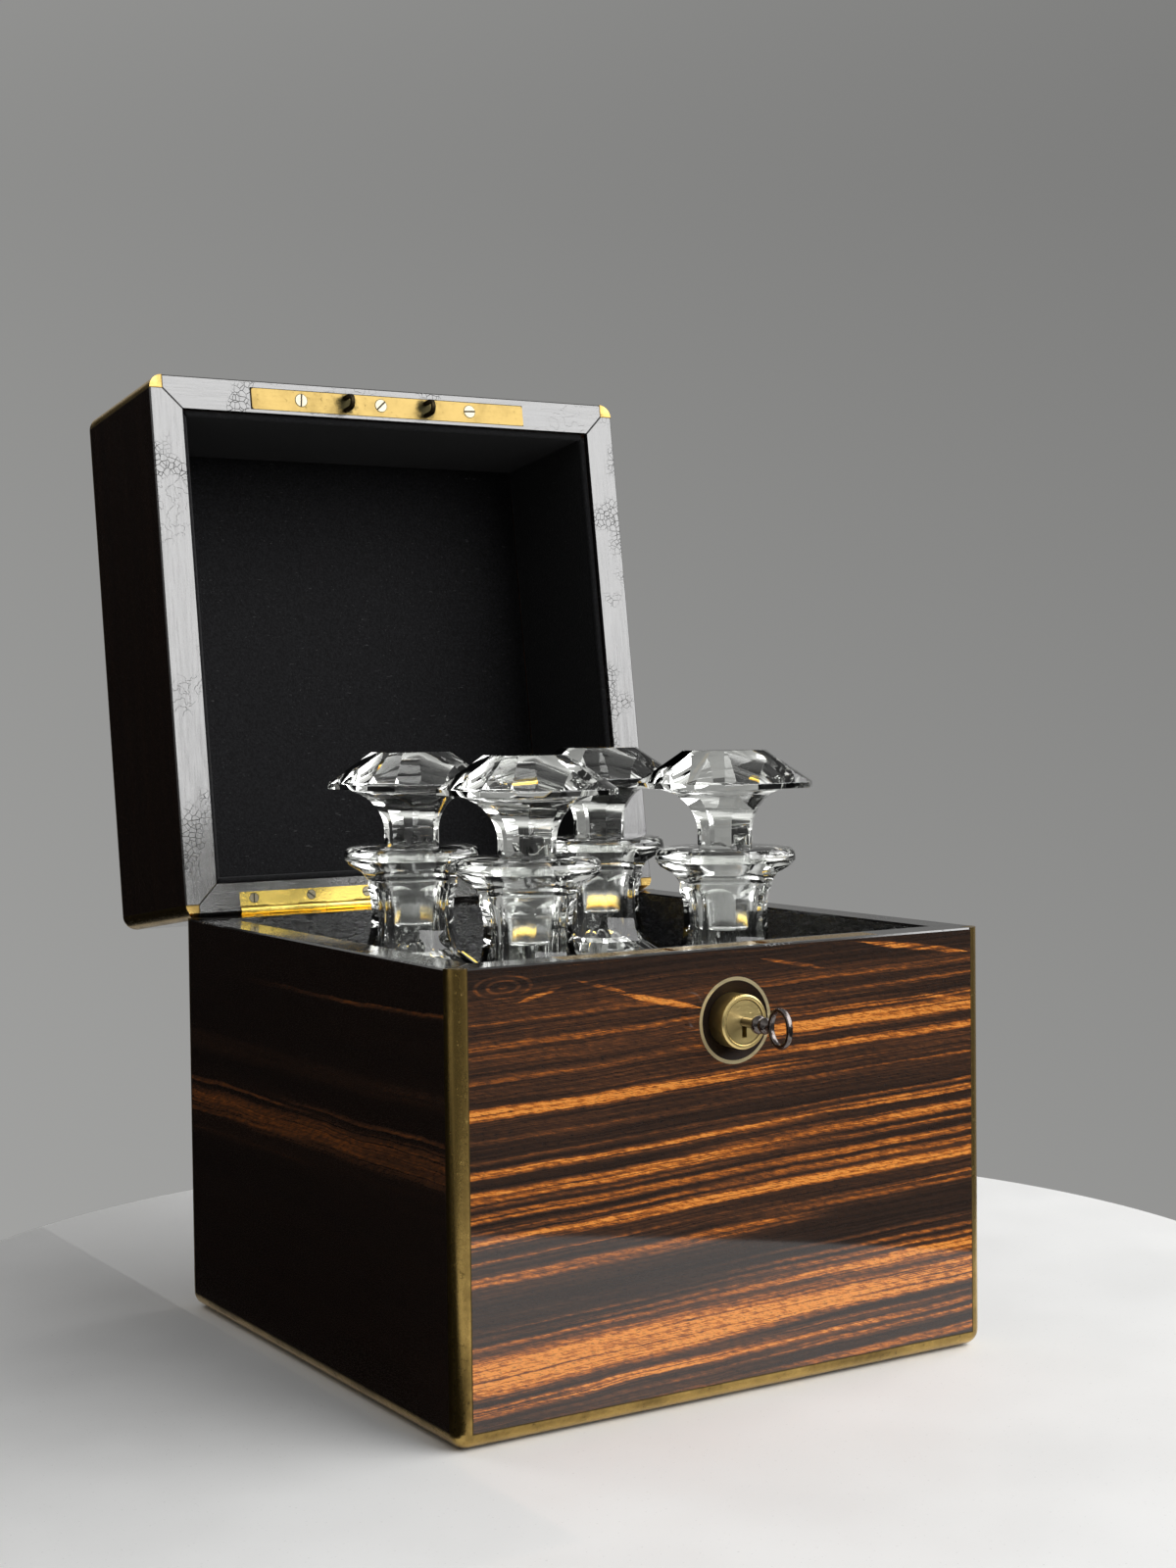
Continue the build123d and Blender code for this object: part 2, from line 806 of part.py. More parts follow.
pad_z = (lid_pad_foot, lid_panel_foot)
lid_parts["lid_pad"] = block((-inner_x, inner_x), (-inner_y, inner_y), pad_z)
lining_z = (lid_foot + lid_lining_setback, lid_pad_foot)
lining_ring = ring(wall, wall + lid_lining, lining_z)
lid_parts["lid_linings"] = solids_of(*(lining_ring & mitred(side, lining_z) for side in turns))

for name, shape in lid_parts.items():
    parts[name] = opened(shape)

# ---- Decanters and stoppers ------------------------------------------------------------------


def canted_square(half, corner):
    """Corners, in order, of a square with its own corners cut off."""
    edge = half - corner
    points = [(edge, -half), (half, -edge), (half, edge), (edge, half)]
    return points + [(-x, -y) for x, y in points]


def octagon(half):
    """Corners of a regular octagon, half across its flats."""
    return canted_square(half, half * (2 - math.sqrt(2)))


def faceted(*levels):
    """Solid with flat facets through outlines of as many corners, each with its height."""
    rings = [[(x, y, z) for x, y in outline] for outline, z in levels]
    facets = [rings[0], rings[-1]]
    for low, high in zip(rings, rings[1:]):
        facets += [[low[n - 1], low[n], high[n], high[n - 1]] for n in range(len(low))]
    return Solid(Shell([Face(Wire.make_polygon(corners)) for corners in facets]))


def ground(*stations):
    """Tapered shape ground nearly round, through stations of half width and height."""
    turn = 2 * math.pi / ground_sides
    turns = [turn * (n + 0.5) for n in range(ground_sides)]
    levels = []
    for half, z in stations:
        corner = half / math.cos(turn / 2)
        levels.append(([(corner * math.cos(a), corner * math.sin(a)) for a in turns], z))
    return faceted(*levels)


def glass_body():
    """Square body with canted corners and facet shoulders that rise to an octagon."""
    outline = canted_square(decanter_side / 2, body_corner_cut)
    root = octagon(neck_root)
    return faceted((outline, decanter_foot), (outline, shoulder_z), (root, neck_root_z))


def neck():
    """Neck cut to eight hollow flats that run out in arches under the round lip."""
    outer = lip_z - lip_edge_depth
    with BuildSketch(Plane.XZ) as section:
        with BuildLine():
            Line((0, neck_root_z), (neck_root, neck_root_z))
            ThreePointArc(
                (neck_root, neck_root_z), (neck_waist, neck_waist_z), (neck_top, neck_top_z)
            )
            Polyline(
                (neck_top, neck_top_z),
                (neck_round, neck_top_z + neck_arch),
                (lip_radius, outer),
                (lip_radius, lip_z),
                (0, lip_z),
                (0, neck_root_z),
            )
        make_face()
        mirror(about=Plane.YZ)
    slab = extrude(section.sketch, 2 * lip_radius, both=True)
    facets = slab
    for n in range(1, 4):
        facets &= Rot(0, 0, 45 * n) * slab
    return facets & lip_and_neck_round()


def lip_and_neck_round():
    """What the neck is cut from: a column that flares out into the lip."""
    outline = [
        (0, lip_z),
        (0, neck_root_z),
        (neck_root + neck_root - neck_waist, neck_root_z),
        (neck_round, neck_waist_z),
        (neck_round, lip_z - neck_round_below_lip),
        (flare_radius, lip_z - flare_below_lip),
        (lip_radius - lip_foot_inset, lip_z - lip_foot_depth),
        (lip_radius, lip_z - lip_edge_depth),
    ]
    for n in range(lip_round_flats + 1):
        angle = math.radians(90 * n / lip_round_flats)
        radius = lip_radius - lip_round * (1 - math.cos(angle))
        outline.append((radius, lip_z - lip_round * (1 - math.sin(angle))))
    return revolve(Plane.XZ * Polygon(*outline, align=None), Axis.Z)


def glass_hollow():
    """Inside of a decanter: square well, shoulders, and the tapered bore ground for the stopper."""
    outline = canted_square(decanter_side / 2 - glass_wall, well_corner_cut)
    bore = neck_bore_foot
    throat = octagon(bore)
    well = faceted((outline, decanter_foot + glass_base), (outline, shoulder_z), (throat, neck_root_z))
    return well + ground((bore, neck_root_z), (bore, peg_foot), (neck_bore_top, lip_z))


def decanter():
    return glass_body() + neck() - glass_hollow()


def stopper_peg():
    """Ground peg that seats in the neck."""
    slope = (neck_bore_top - neck_bore_foot) / (lip_z - peg_foot)
    low = neck_bore_foot - peg_clearance
    foot = peg_foot + peg_clearance
    mouth = low + slope * (lip_z - foot)
    return ground((low - peg_round, foot), (low, foot + peg_round), (mouth, lip_z), (shaft_half, peg_top))


def underside(half):
    """Slab with the hollow outline of the head's underside, from the shaft out to the girdle."""
    top = girdle_z - girdle
    sweep = stopper_across / 2 - shaft_half - girdle_flat
    start = (lip_z + peg_top) / 2
    low = (shaft_half, top - sweep)
    high = (shaft_half + sweep, top)
    with BuildSketch(Plane.XZ) as section:
        with BuildLine():
            Polyline((0, start), (shaft_half, start), low)
            RadiusArc(low, high, sweep)
            Polyline(high, (half, top), (half, girdle_z), (0, girdle_z), (0, start))
        make_face()
        mirror(about=Plane.YZ)
    return extrude(section.sketch, 2 * stopper_across, both=True)


def stopper():
    """Square head with canted corners, bevelled to a flat table, on a faceted shaft and a peg."""
    half = stopper_across / 2
    diagonal = (2 * half - stopper_corner_cut) / math.sqrt(2)
    flat_slab = underside(half)
    corner_slab = underside(diagonal)
    lower = flat_slab & Rot(0, 0, 90) * flat_slab
    lower &= Rot(0, 0, 45) * corner_slab
    lower &= Rot(0, 0, 135) * corner_slab
    wide = canted_square(half, stopper_corner_cut)
    table = canted_square(half * table_share, stopper_corner_cut * table_share)
    return lower + faceted((wide, girdle_z), (table, table_z)) + stopper_peg()


decanter_places = {
    "front_left": (-decanter_x, -decanter_y),
    "front_right": (decanter_x, -decanter_y),
    "rear_left": (-decanter_x, decanter_y),
    "rear_right": (decanter_x, decanter_y),
}
stopper_turns = {"front_left": -5.0, "front_right": 0.0, "rear_left": -3.0, "rear_right": 4.0}
one_decanter = decanter()
one_stopper = stopper()
for place, (x, y) in decanter_places.items():
    parts[f"decanter_{place}"] = Pos(x, y, 0) * one_decanter
    parts[f"stopper_{place}"] = Pos(x, y, 0) * Rot(0, 0, stopper_turns[place]) * one_stopper

# ---- One file for each piece -----------------------------------------------------------------

os.makedirs("parts", exist_ok=True)
for name, shape in parts.items():
    export_step(shape, f"parts/{name}.step")
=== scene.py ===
import bmesh
import bpy
import json
import math
from mathutils import Matrix, Vector, noise


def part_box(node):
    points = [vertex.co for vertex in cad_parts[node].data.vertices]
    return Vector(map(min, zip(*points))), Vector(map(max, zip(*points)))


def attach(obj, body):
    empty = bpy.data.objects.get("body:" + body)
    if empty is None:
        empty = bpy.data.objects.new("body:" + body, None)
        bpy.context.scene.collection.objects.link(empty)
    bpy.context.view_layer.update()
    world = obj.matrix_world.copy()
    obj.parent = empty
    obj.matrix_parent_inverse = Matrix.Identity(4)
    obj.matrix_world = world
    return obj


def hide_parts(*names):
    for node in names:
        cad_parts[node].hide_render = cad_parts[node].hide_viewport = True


# A Victorian decanter box: a square case veneered in coromandel, bound in brass and lined in
# black, its lid thrown back, with four cut-glass decanters inside and the key in the lock.

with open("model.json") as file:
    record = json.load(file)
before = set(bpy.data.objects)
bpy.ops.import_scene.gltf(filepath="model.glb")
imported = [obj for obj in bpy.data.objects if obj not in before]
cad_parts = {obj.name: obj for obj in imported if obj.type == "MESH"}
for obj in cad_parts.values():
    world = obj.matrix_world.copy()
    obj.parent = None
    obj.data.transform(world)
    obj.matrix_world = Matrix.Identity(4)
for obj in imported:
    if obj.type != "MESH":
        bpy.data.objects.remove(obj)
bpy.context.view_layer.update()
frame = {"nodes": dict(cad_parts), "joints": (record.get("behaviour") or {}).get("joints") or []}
nodes = frame["nodes"]
scene = bpy.context.scene
scene.view_settings.view_transform = "Standard"

# ---- Table, wall, lamps and camera ------------------------------------------------------------
# The box stands on a round white table, in front of a plain grey wall. Two broad soft windows
# light it from the front and the right, and a small one behind it brings out the glass.

socket = bpy.types.NodeSocket


def fill(tree, sockets, values):
    """Links or sets sockets by their names. A value is a number, a colour or another socket."""
    for name, value in dict(values).items():
        if isinstance(value, socket):
            tree.links.new(value, sockets[name])
        else:
            sockets[name].default_value = value


def add(tree, kind, inputs=(), **settings):
    made = tree.nodes.new(kind if kind[:8] == "Geometry" else "ShaderNode" + kind)
    for name, value in settings.items():
        setattr(made, name, value)
    fill(tree, made.inputs, inputs)
    return made


def maths(operation, *values):
    """A reckoning node, in the tree of whichever value is a socket."""
    tree = next(value.id_data for value in values if isinstance(value, socket))
    return add(tree, "Math", enumerate(values), operation=operation).outputs[0]


# Sockets add up, multiply and so on as numbers do, and each sign makes its node.
socket.__add__ = lambda a, b: maths("ADD", a, b)
socket.__sub__ = lambda a, b: maths("SUBTRACT", a, b)
socket.__rsub__ = lambda a, b: maths("SUBTRACT", b, a)
socket.__mul__ = lambda a, b: maths("MULTIPLY", a, b)
socket.__truediv__ = lambda a, b: maths("DIVIDE", a, b)
socket.__abs__ = lambda a: maths("ABSOLUTE", a)


def larger(a, b):
    return maths("MAXIMUM", a, b)


def smaller(a, b):
    return maths("MINIMUM", a, b)


def mixed(share, a, b):
    """Colour from a, where share is 0, to b, where it is 1."""
    return add(share.id_data, "Mix", {0: share, 6: a, 7: b}, data_type="RGBA").outputs[2]


def eased(value, low, high, at_low=0.0, at_high=1.0):
    """Value carried smoothly from its low and high to two new ones."""
    inputs = {"Value": value, "From Min": low, "From Max": high, "To Min": at_low, "To Max": at_high}
    return add(value.id_data, "MapRange", inputs, interpolation_type="SMOOTHSTEP").outputs[0]


def cloud(place, scale, detail=2.0, roughness=0.5):
    """Soft noise from 0 to 1 about a half."""
    inputs = {"Vector": place, "Scale": scale, "Detail": detail, "Roughness": roughness}
    return add(place.id_data, "TexNoise", inputs).outputs[0]


def object_place(tree):
    return add(tree, "TexCoord").outputs["Object"]


def split(place):
    """A place's three parts."""
    return add(place.id_data, "SeparateXYZ", {0: place}).outputs


def material(name):
    """A new material, and its tree and shader."""
    made = bpy.data.materials.new(name)
    made.use_nodes = True
    return made, made.node_tree, made.node_tree.nodes["Principled BSDF"]


def feed(shader, **values):
    """Fills the shader's sockets, named with _ for a space."""
    named = {name.replace("_", " "): value for name, value in values.items()}
    fill(shader.id_data, shader.inputs, named)


def bump(height, depth):
    """Normal of a surface that rises by depth, in metres, where height goes from 0 to 1."""
    inputs = {"Height": height, "Distance": depth, "Strength": 1.0}
    return add(height.id_data, "Bump", inputs).outputs[0]


def object_from(bm, name, *finishes):
    """Object with the shape's mesh and its materials."""
    mesh = bpy.data.meshes.new(name)
    bm.to_mesh(mesh)
    bm.free()
    for finish in finishes:
        mesh.materials.append(finish)
    made = bpy.data.objects.new(name, mesh)
    scene.collection.objects.link(made)
    return made


def softly_shaded(made, angle):
    """Smooth shading, but for edges sharper than the angle."""
    made.data.shade_smooth()
    made.data.set_sharp_from_angle(angle=math.radians(angle))
    return made


def turned(bm, outline, middle, axis, out, steps):
    """Closed shape turned about an axis through middle, from points of radius and length."""
    axis, out = Vector(axis), Vector(out)
    rows = []
    for radius, along in outline:
        foot = Vector(middle) + axis * along
        row = []
        for n in range(steps if radius > 0 else 1):
            spoke = Matrix.Rotation(2 * math.pi * n / steps, 3, axis) @ out
            row.append(bm.verts.new(foot + spoke * radius))
        rows.append(row)
    for a, b in zip(rows, rows[1:]):
        for n in range(steps):
            corners = [a[n % len(a)], a[(n + 1) % len(a)], b[(n + 1) % len(b)], b[n % len(b)]]
            corners = list(dict.fromkeys(corners))
            if len(corners) > 2:
                bm.faces.new(corners)


table_middle = (0.0349, 0.0344, 0.0)
table_radius = 0.3015
table_edge = 0.004
table_thickness = 0.028
table_long_way = Vector((0.53, 0.85, 0.0)).normalized()
table_stretch = 0.8
outline = [(0.0, -table_thickness), (table_radius - table_edge, -table_thickness)]
for foot, first in ((table_edge - table_thickness, -90), (-table_edge, 0)):
    for n in range(9):
        angle = math.radians(first + 90 * n / 8)
        reach = table_radius - table_edge + table_edge * math.cos(angle)
        outline.append((reach, foot + table_edge * math.sin(angle)))
outline.append((0.0, 0.0))
shape = bmesh.new()
turned(shape, outline, table_middle, (0, 0, 1), (1, 0, 0), 256)
for vertex in shape.verts:
    forward = -(vertex.co - Vector(table_middle)).dot(table_long_way)
    if forward > 0:
        vertex.co -= table_long_way * forward * table_stretch
bmesh.ops.recalc_face_normals(shape, faces=shape.faces)
white_paint, tree, shader = material("white_table")
place = object_place(tree)
worn = cloud(place, 14, 4, 0.6)
specks = eased(cloud(place, 900, 1), 0.7, 0.76)
white = mixed(worn, (0.86, 0.86, 0.85, 1), (0.91, 0.91, 0.9, 1))
white = mixed(specks * 0.25, white, (0.35, 0.34, 0.33, 1))
feed(shader, Base_Color=white, Roughness=eased(worn, 0.3, 0.7, 0.42, 0.55))
feed(shader, Normal=bump(cloud(place, 160, 3), 0.00004))
table = softly_shaded(object_from(shape, "table", white_paint), 40)

room_light = 0.2
world = bpy.data.worlds.new("grey_room")
scene.world = world
world.use_nodes = True
tree = world.node_tree
tree.nodes.clear()
rays = add(tree, "LightPath").outputs
seen = larger(rays["Is Camera Ray"], rays["Is Glossy Ray"])
seen = larger(seen, rays["Is Transmission Ray"])
lit = add(tree, "Background", {"Color": (1.0, 1.0, 1.0, 1), "Strength": room_light})
way = split(add(tree, "TexCoord").outputs["Generated"])
grey = way[2] * -0.2 + (way[0] * -0.15 + 0.357)
grey = larger(smaller(grey, 0.36), 0.16)
low = eased(way[1], -0.5, 0.1, 1.0, 0.0) * eased(way[2], 0.1, 0.35, 1.0, 0.0)
shade = (low * -0.75 + 1.0) * eased(way[2], 0.2, 0.6, 1.0, 1.9)
through_glass = rays["Is Transmission Ray"] * eased(way[1], -0.2, 0.4, 0.45, 0.0)
grey = grey * shade + through_glass
wall = add(tree, "Background", {"Color": (1.0, 1.0, 0.98, 1), "Strength": grey})
chosen = add(tree, "MixShader", {0: seen, 1: lit.outputs[0], 2: wall.outputs[0]})
add(tree, "OutputWorld", {"Surface": chosen.outputs[0]})


def lamp(name, centre, aim, width, height, radiance):
    """Soft rectangular lamp of an even radiance."""
    light = bpy.data.lights.new(name, "AREA")
    light.shape = "RECTANGLE"
    light.size = width
    light.size_y = height
    light.energy = radiance * math.pi * width * height
    made = bpy.data.objects.new(name, light)
    scene.collection.objects.link(made)
    made.location = centre
    made.rotation_euler = (Vector(aim) - Vector(centre)).to_track_quat("-Z", "Y").to_euler()


lamp("window", (1.12, -1.88, 1.6), (0.0, 0.0, 0.4), 2.3, 2.2, 4.2)
lamp("side_window", (2.2, -0.3, 1.4), (0.0, 0.0, 0.2), 2.0, 1.8, 3.3)
lamp("back_window", (-0.9, 1.6, 1.7), (0, 0, 0.2), 0.7, 1.0, 3.0)

# Black cards behind the box and on the table at its left keep its dark sides dark. They are out
# of sight, and throw no shadow: they show only in reflections, as painted shade where the box's
# shadow and the dark room would be.
card_lift = 0.0004
cards = [[(-2.6, 0.5, -0.5), (0.1, 2.5, -0.5), (0.1, 2.5, 1.1), (-2.6, 0.5, 1.1)],
         [(x, y, card_lift) for x, y in ((-0.9, -0.2), (-0.1195, -0.2), (-0.1195, 0.7), (-0.9, 0.7))]]
shape = bmesh.new()
for corners in cards:
    shape.faces.new([shape.verts.new(corner) for corner in corners])
# Near-black card, painted shade in the reflections of the box's sides.
card_black, tree, shader = material("black_card")
black = mixed(cloud(object_place(tree), 3), (0.004, 0.004, 0.004, 1), (0.01, 0.01, 0.01, 1))
feed(shader, Base_Color=black, Roughness=1.0, Specular_IOR_Level=0.0)
card = object_from(shape, "black_card", card_black)
for ray in ("camera", "shadow", "diffuse", "transmission"):
    setattr(card, f"visible_{ray}", False)

camera_data = bpy.data.cameras.new("camera")
camera = bpy.data.objects.new("camera", camera_data)
scene.collection.objects.link(camera)
scene.camera = camera
azimuth, elevation, roll = (math.radians(a) for a in (32.10, 2.05, -0.655))
target = Vector((0.0107, 0.0, 0.2156))
distance = 0.9036
back = Vector((-math.sin(azimuth) * math.cos(elevation), -math.cos(azimuth) * math.cos(elevation),
               math.sin(elevation)))
right = (-back).cross(Vector((0, 0, 1))).normalized()
up = right.cross(-back)
across = right * math.cos(roll) + up * math.sin(roll)
upward = up * math.cos(roll) - right * math.sin(roll)
camera.matrix_world = Matrix.Translation(target + back * distance) @ Matrix(
    (across, upward, back)).transposed().to_4x4()
camera_data.sensor_fit = "AUTO"
camera_data.sensor_width = 36.0
frame_height, focal_length = 1600, 2313.7  # pixels
camera_data.lens = focal_length / frame_height * camera_data.sensor_width
camera_data.clip_start = 0.01

# ---- Carcase ----------------------------------------------------------------------------------
# The boards under the veneer are mahogany, sawn and planed, mitred and glued at the corners.
# They hardly show, but for the edges of the base round the baize.


def group(name, inputs, outputs=("Color", "Roughness", "Height")):
    """A new group, with its input node's sockets and its output node's."""
    made = bpy.data.node_groups.new(name, "ShaderNodeTree")
    for label, value in inputs.items():
        kind = {1: "Float", 3: "Vector", 4: "Color"}[len(value) if isinstance(value, tuple) else 1]
        entry = made.interface.new_socket(label, in_out="INPUT", socket_type=f"NodeSocket{kind}")
        entry.default_value = value
    for label in outputs:
        kind = "Color" if label == "Color" else "Float"
        made.interface.new_socket(label, in_out="OUTPUT", socket_type=f"NodeSocket{kind}")
    return made, made.nodes.new("NodeGroupInput").outputs, made.nodes.new("NodeGroupOutput").inputs


def put(tree, made, inputs):
    """The group placed in a tree with its own values; gives its outputs."""
    node = add(tree, "Group", node_tree=made)
    fill(tree, node.inputs, inputs)
    return node.outputs


def surface(shader, made, depth, **constants):
    """Feeds the shader a group's colour, roughness and height, and its own constants."""
    normal = bump(made["Height"], depth)
    feed(shader, Base_Color=made["Color"], Roughness=made["Roughness"], Normal=normal, **constants)


def drawn_out(place, scale):
    """Place stretched by its own scale along each axis."""
    return add(place.id_data, "Mapping", {"Vector": place, "Scale": scale}).outputs[0]


def dress(finish, *names):
    """Gives a material to CAD nodes."""
    for name in names:
        for place in nodes[name].material_slots:
            place.material = finish


hinge = next(j for j in frame["joints"] if j["name"] == "lid_hinge")
pin = Vector(hinge["pos_m"])
open_angle = math.radians(-hinge["range_deg"][0])
lid_open = (Matrix.Translation(pin) @ Matrix.Rotation(open_angle, 4, Vector(hinge["axis"]))
            @ Matrix.Translation(-pin))


def shut_place(tree, lid=True):
    """Where a point of the case is, or a point of the lid when the box is shut."""
    place = object_place(tree)
    if not lid:
        return place
    inputs = {"Vector": place, "Center": pin, "Axis": hinge["axis"], "Angle": -open_angle}
    return add(tree, "VectorRotate", inputs, rotation_type="AXIS_ANGLE").outputs[0]


plain_wood, start, end = group(
    "straight_grain",
    {"Place": (0, 0, 0), "Light": (0.33, 0.15, 0.07, 1), "Dark": (0.12, 0.045, 0.02, 1)})
rings = cloud(drawn_out(start["Place"], (7, 60, 60)), 1, 3, 0.6)
pores = cloud(drawn_out(start["Place"], (160, 2200, 2200)), 1, 1)
pores = eased(pores, 0.6, 0.68)
tone = mixed(eased(rings, 0.3, 0.7), start["Light"], start["Dark"])
tone = mixed(pores * 0.6, tone, (0.03, 0.012, 0.006, 1))
rough = eased(rings, 0.2, 0.8, 0.5, 0.65)
fill(plain_wood, end, {"Color": tone, "Roughness": rough, "Height": rings - pores})

case_boards = ("base_board", "front_board", "back_board", "left_board", "right_board")
lid_boards = ("lid_top_board", "lid_walls")
for name, lid, boards in (("case_boards", False, case_boards), ("lid_boards", True, lid_boards)):
    carcase_wood, tree, shader = material(name)
    surface(shader, put(tree, plain_wood, {"Place": shut_place(tree, lid)}), 0.00008)
    dress(carcase_wood, *boards)

# ---- Coromandel veneer ------------------------------------------------------------------------
# Knife-cut coromandel, almost black with orange and brown streaks, laid with its grain level all
# round and French polished. The front is a lively leaf and the sides are dark ones. The left
# leaves of case and lid are turned darker still: dark wood of their own, and painted shade too.

flow, start, end = group(
    "grain_flow",
    {"Along": 0.0, "Across": 0.0, "Seed": 0.0, "Slope": 0.0, "Sway": 0.004, "Wander": 0.001},
    ("Level",))


def grain_noise(along, across, seed, along_scale, across_scale, detail=2.0, roughness=0.5):
    """Noise with its own scale along the grain and across it."""
    inputs = {0: along * along_scale, 1: across * across_scale, 2: seed}
    return cloud(add(along.id_data, "CombineXYZ", inputs).outputs[0], 1.0, detail, roughness)


along, across, seed = start["Along"], start["Across"], start["Seed"]
level = start["Slope"] * (along * -1) + across
for share, along_scale, across_scale in (("Sway", 7, 9), ("Wander", 34, 60)):
    wave = grain_noise(along, across, seed, along_scale, across_scale)
    level = (wave * 2 - 1) * start[share] + level
jitter = grain_noise(along, across, seed, 220, 700, 3, 0.7)
fill(flow, end, {"Level": jitter * 0.0009 + level})

figure, start, end = group(
    "veneer_figure", {"Along": 0.0, "Level": 0.0, "Seed": 0.0, "Streak": 0.0, "Warmth": 0.5})
along, level, seed = start["Along"], start["Level"], start["Seed"]
slanted = along * 0.22 + level
fine = grain_noise(along, level, seed, 6, 760, 3, 0.7)
hairs = grain_noise(along, level, seed, 16, 2100, 2, 0.6)
broad = grain_noise(along, level, seed, 4, 130, 2, 0.5)
mottle = grain_noise(along, slanted, seed, 190, 900, 3, 0.6)
patches = grain_noise(along, level, seed, 16, 80, 2, 0.5)
pores = eased(grain_noise(along, slanted, seed, 380, 3000, 1), 0.56, 0.66)
ground = fine * 0.6 + broad * 0.4
ground = eased(ground, 0.36, 0.66, 0.15, 1.0) * start["Warmth"]
for noises, least, most in ((mottle, 0.7, 1.25), (hairs, 0.6, 1.4)):
    ground = ground * eased(noises, 0.3, 0.7, least, most)
streak = start["Streak"] * eased(fine, 0.36, 0.5, 0.35, 1.08)
for noises, least, most in ((mottle, 0.62, 1.22), (hairs, 0.7, 1.22), (patches, 0.8, 1.12)):
    streak = streak * eased(noises, 0.3, 0.7, least, most)
ramp = add(figure, "ValToRGB", {0: ground * 0.5 + streak})
shades = [(0.0, (0.0125, 0.0072, 0.0052)), (0.14, (0.034, 0.0165, 0.0095)),
          (0.34, (0.100, 0.038, 0.015)), (0.58, (0.29, 0.086, 0.017)),
          (0.82, (0.58, 0.175, 0.026)), (1.0, (0.78, 0.29, 0.055))]
while len(ramp.color_ramp.elements) < len(shades):
    ramp.color_ramp.elements.new(0.5)
for element, (position, colour) in zip(ramp.color_ramp.elements, shades):
    element.position = position
    element.color = (*colour, 1)
colour = mixed(pores * 0.5, ramp.outputs[0], (0.008, 0.005, 0.004, 1))
rough = eased(fine, 0.2, 0.8, 0.34, 0.5)
fill(figure, end, {"Color": colour, "Roughness": rough, "Height": fine - pores})


def streaks(level, height, bands):
    """How streaked the wood is at a level. Each band is its middle, half width and strength."""
    node = add(level.id_data, "FloatCurve", {"Value": level / (height / 1000)})
    curve = node.mapping.curves[0]
    curve.points[0].location = (0, 0)
    curve.points[1].location = (1, 0)
    for middle, half, strength in bands:
        for offset, value in ((-half, 0), (-half / 2, strength), (half / 2, strength), (half, 0)):
            curve.points.new((middle + offset) / height, value)
    for point in curve.points:
        point.handle_type = "VECTOR"
    node.mapping.update()
    return node.outputs[0]


def length_of(x, y):
    return maths("SQRT", x * x + y * y)


def knot(along, across, place, size, strength):
    """Oval rings of brown round a small knot, and nothing away from it."""
    far = length_of((along - place[0]) / size[0], (across - place[1]) / size[1])
    ripple = maths("SINE", far * 21)
    return eased(ripple, 0, 1) * eased(far, 0.6, 1.0, 1, 0) * strength


def stroke(along, across, start, end, half, strength):
    """One streak on its own between two points, thin at both ends."""
    inputs = {"Value": along, "From Min": start[0], "From Max": end[0]}
    share = add(along.id_data, "MapRange", inputs).outputs[0]
    middle = share * (end[1] - start[1]) + start[1]
    off = abs(across - middle)
    ends = eased(share, 0.0, 0.3) * eased(share, 0.75, 1.0, 1, 0)
    thick = ends * half + 0.00001
    return eased(off / thick, 0.3, 1.0, 1, 0) * strength


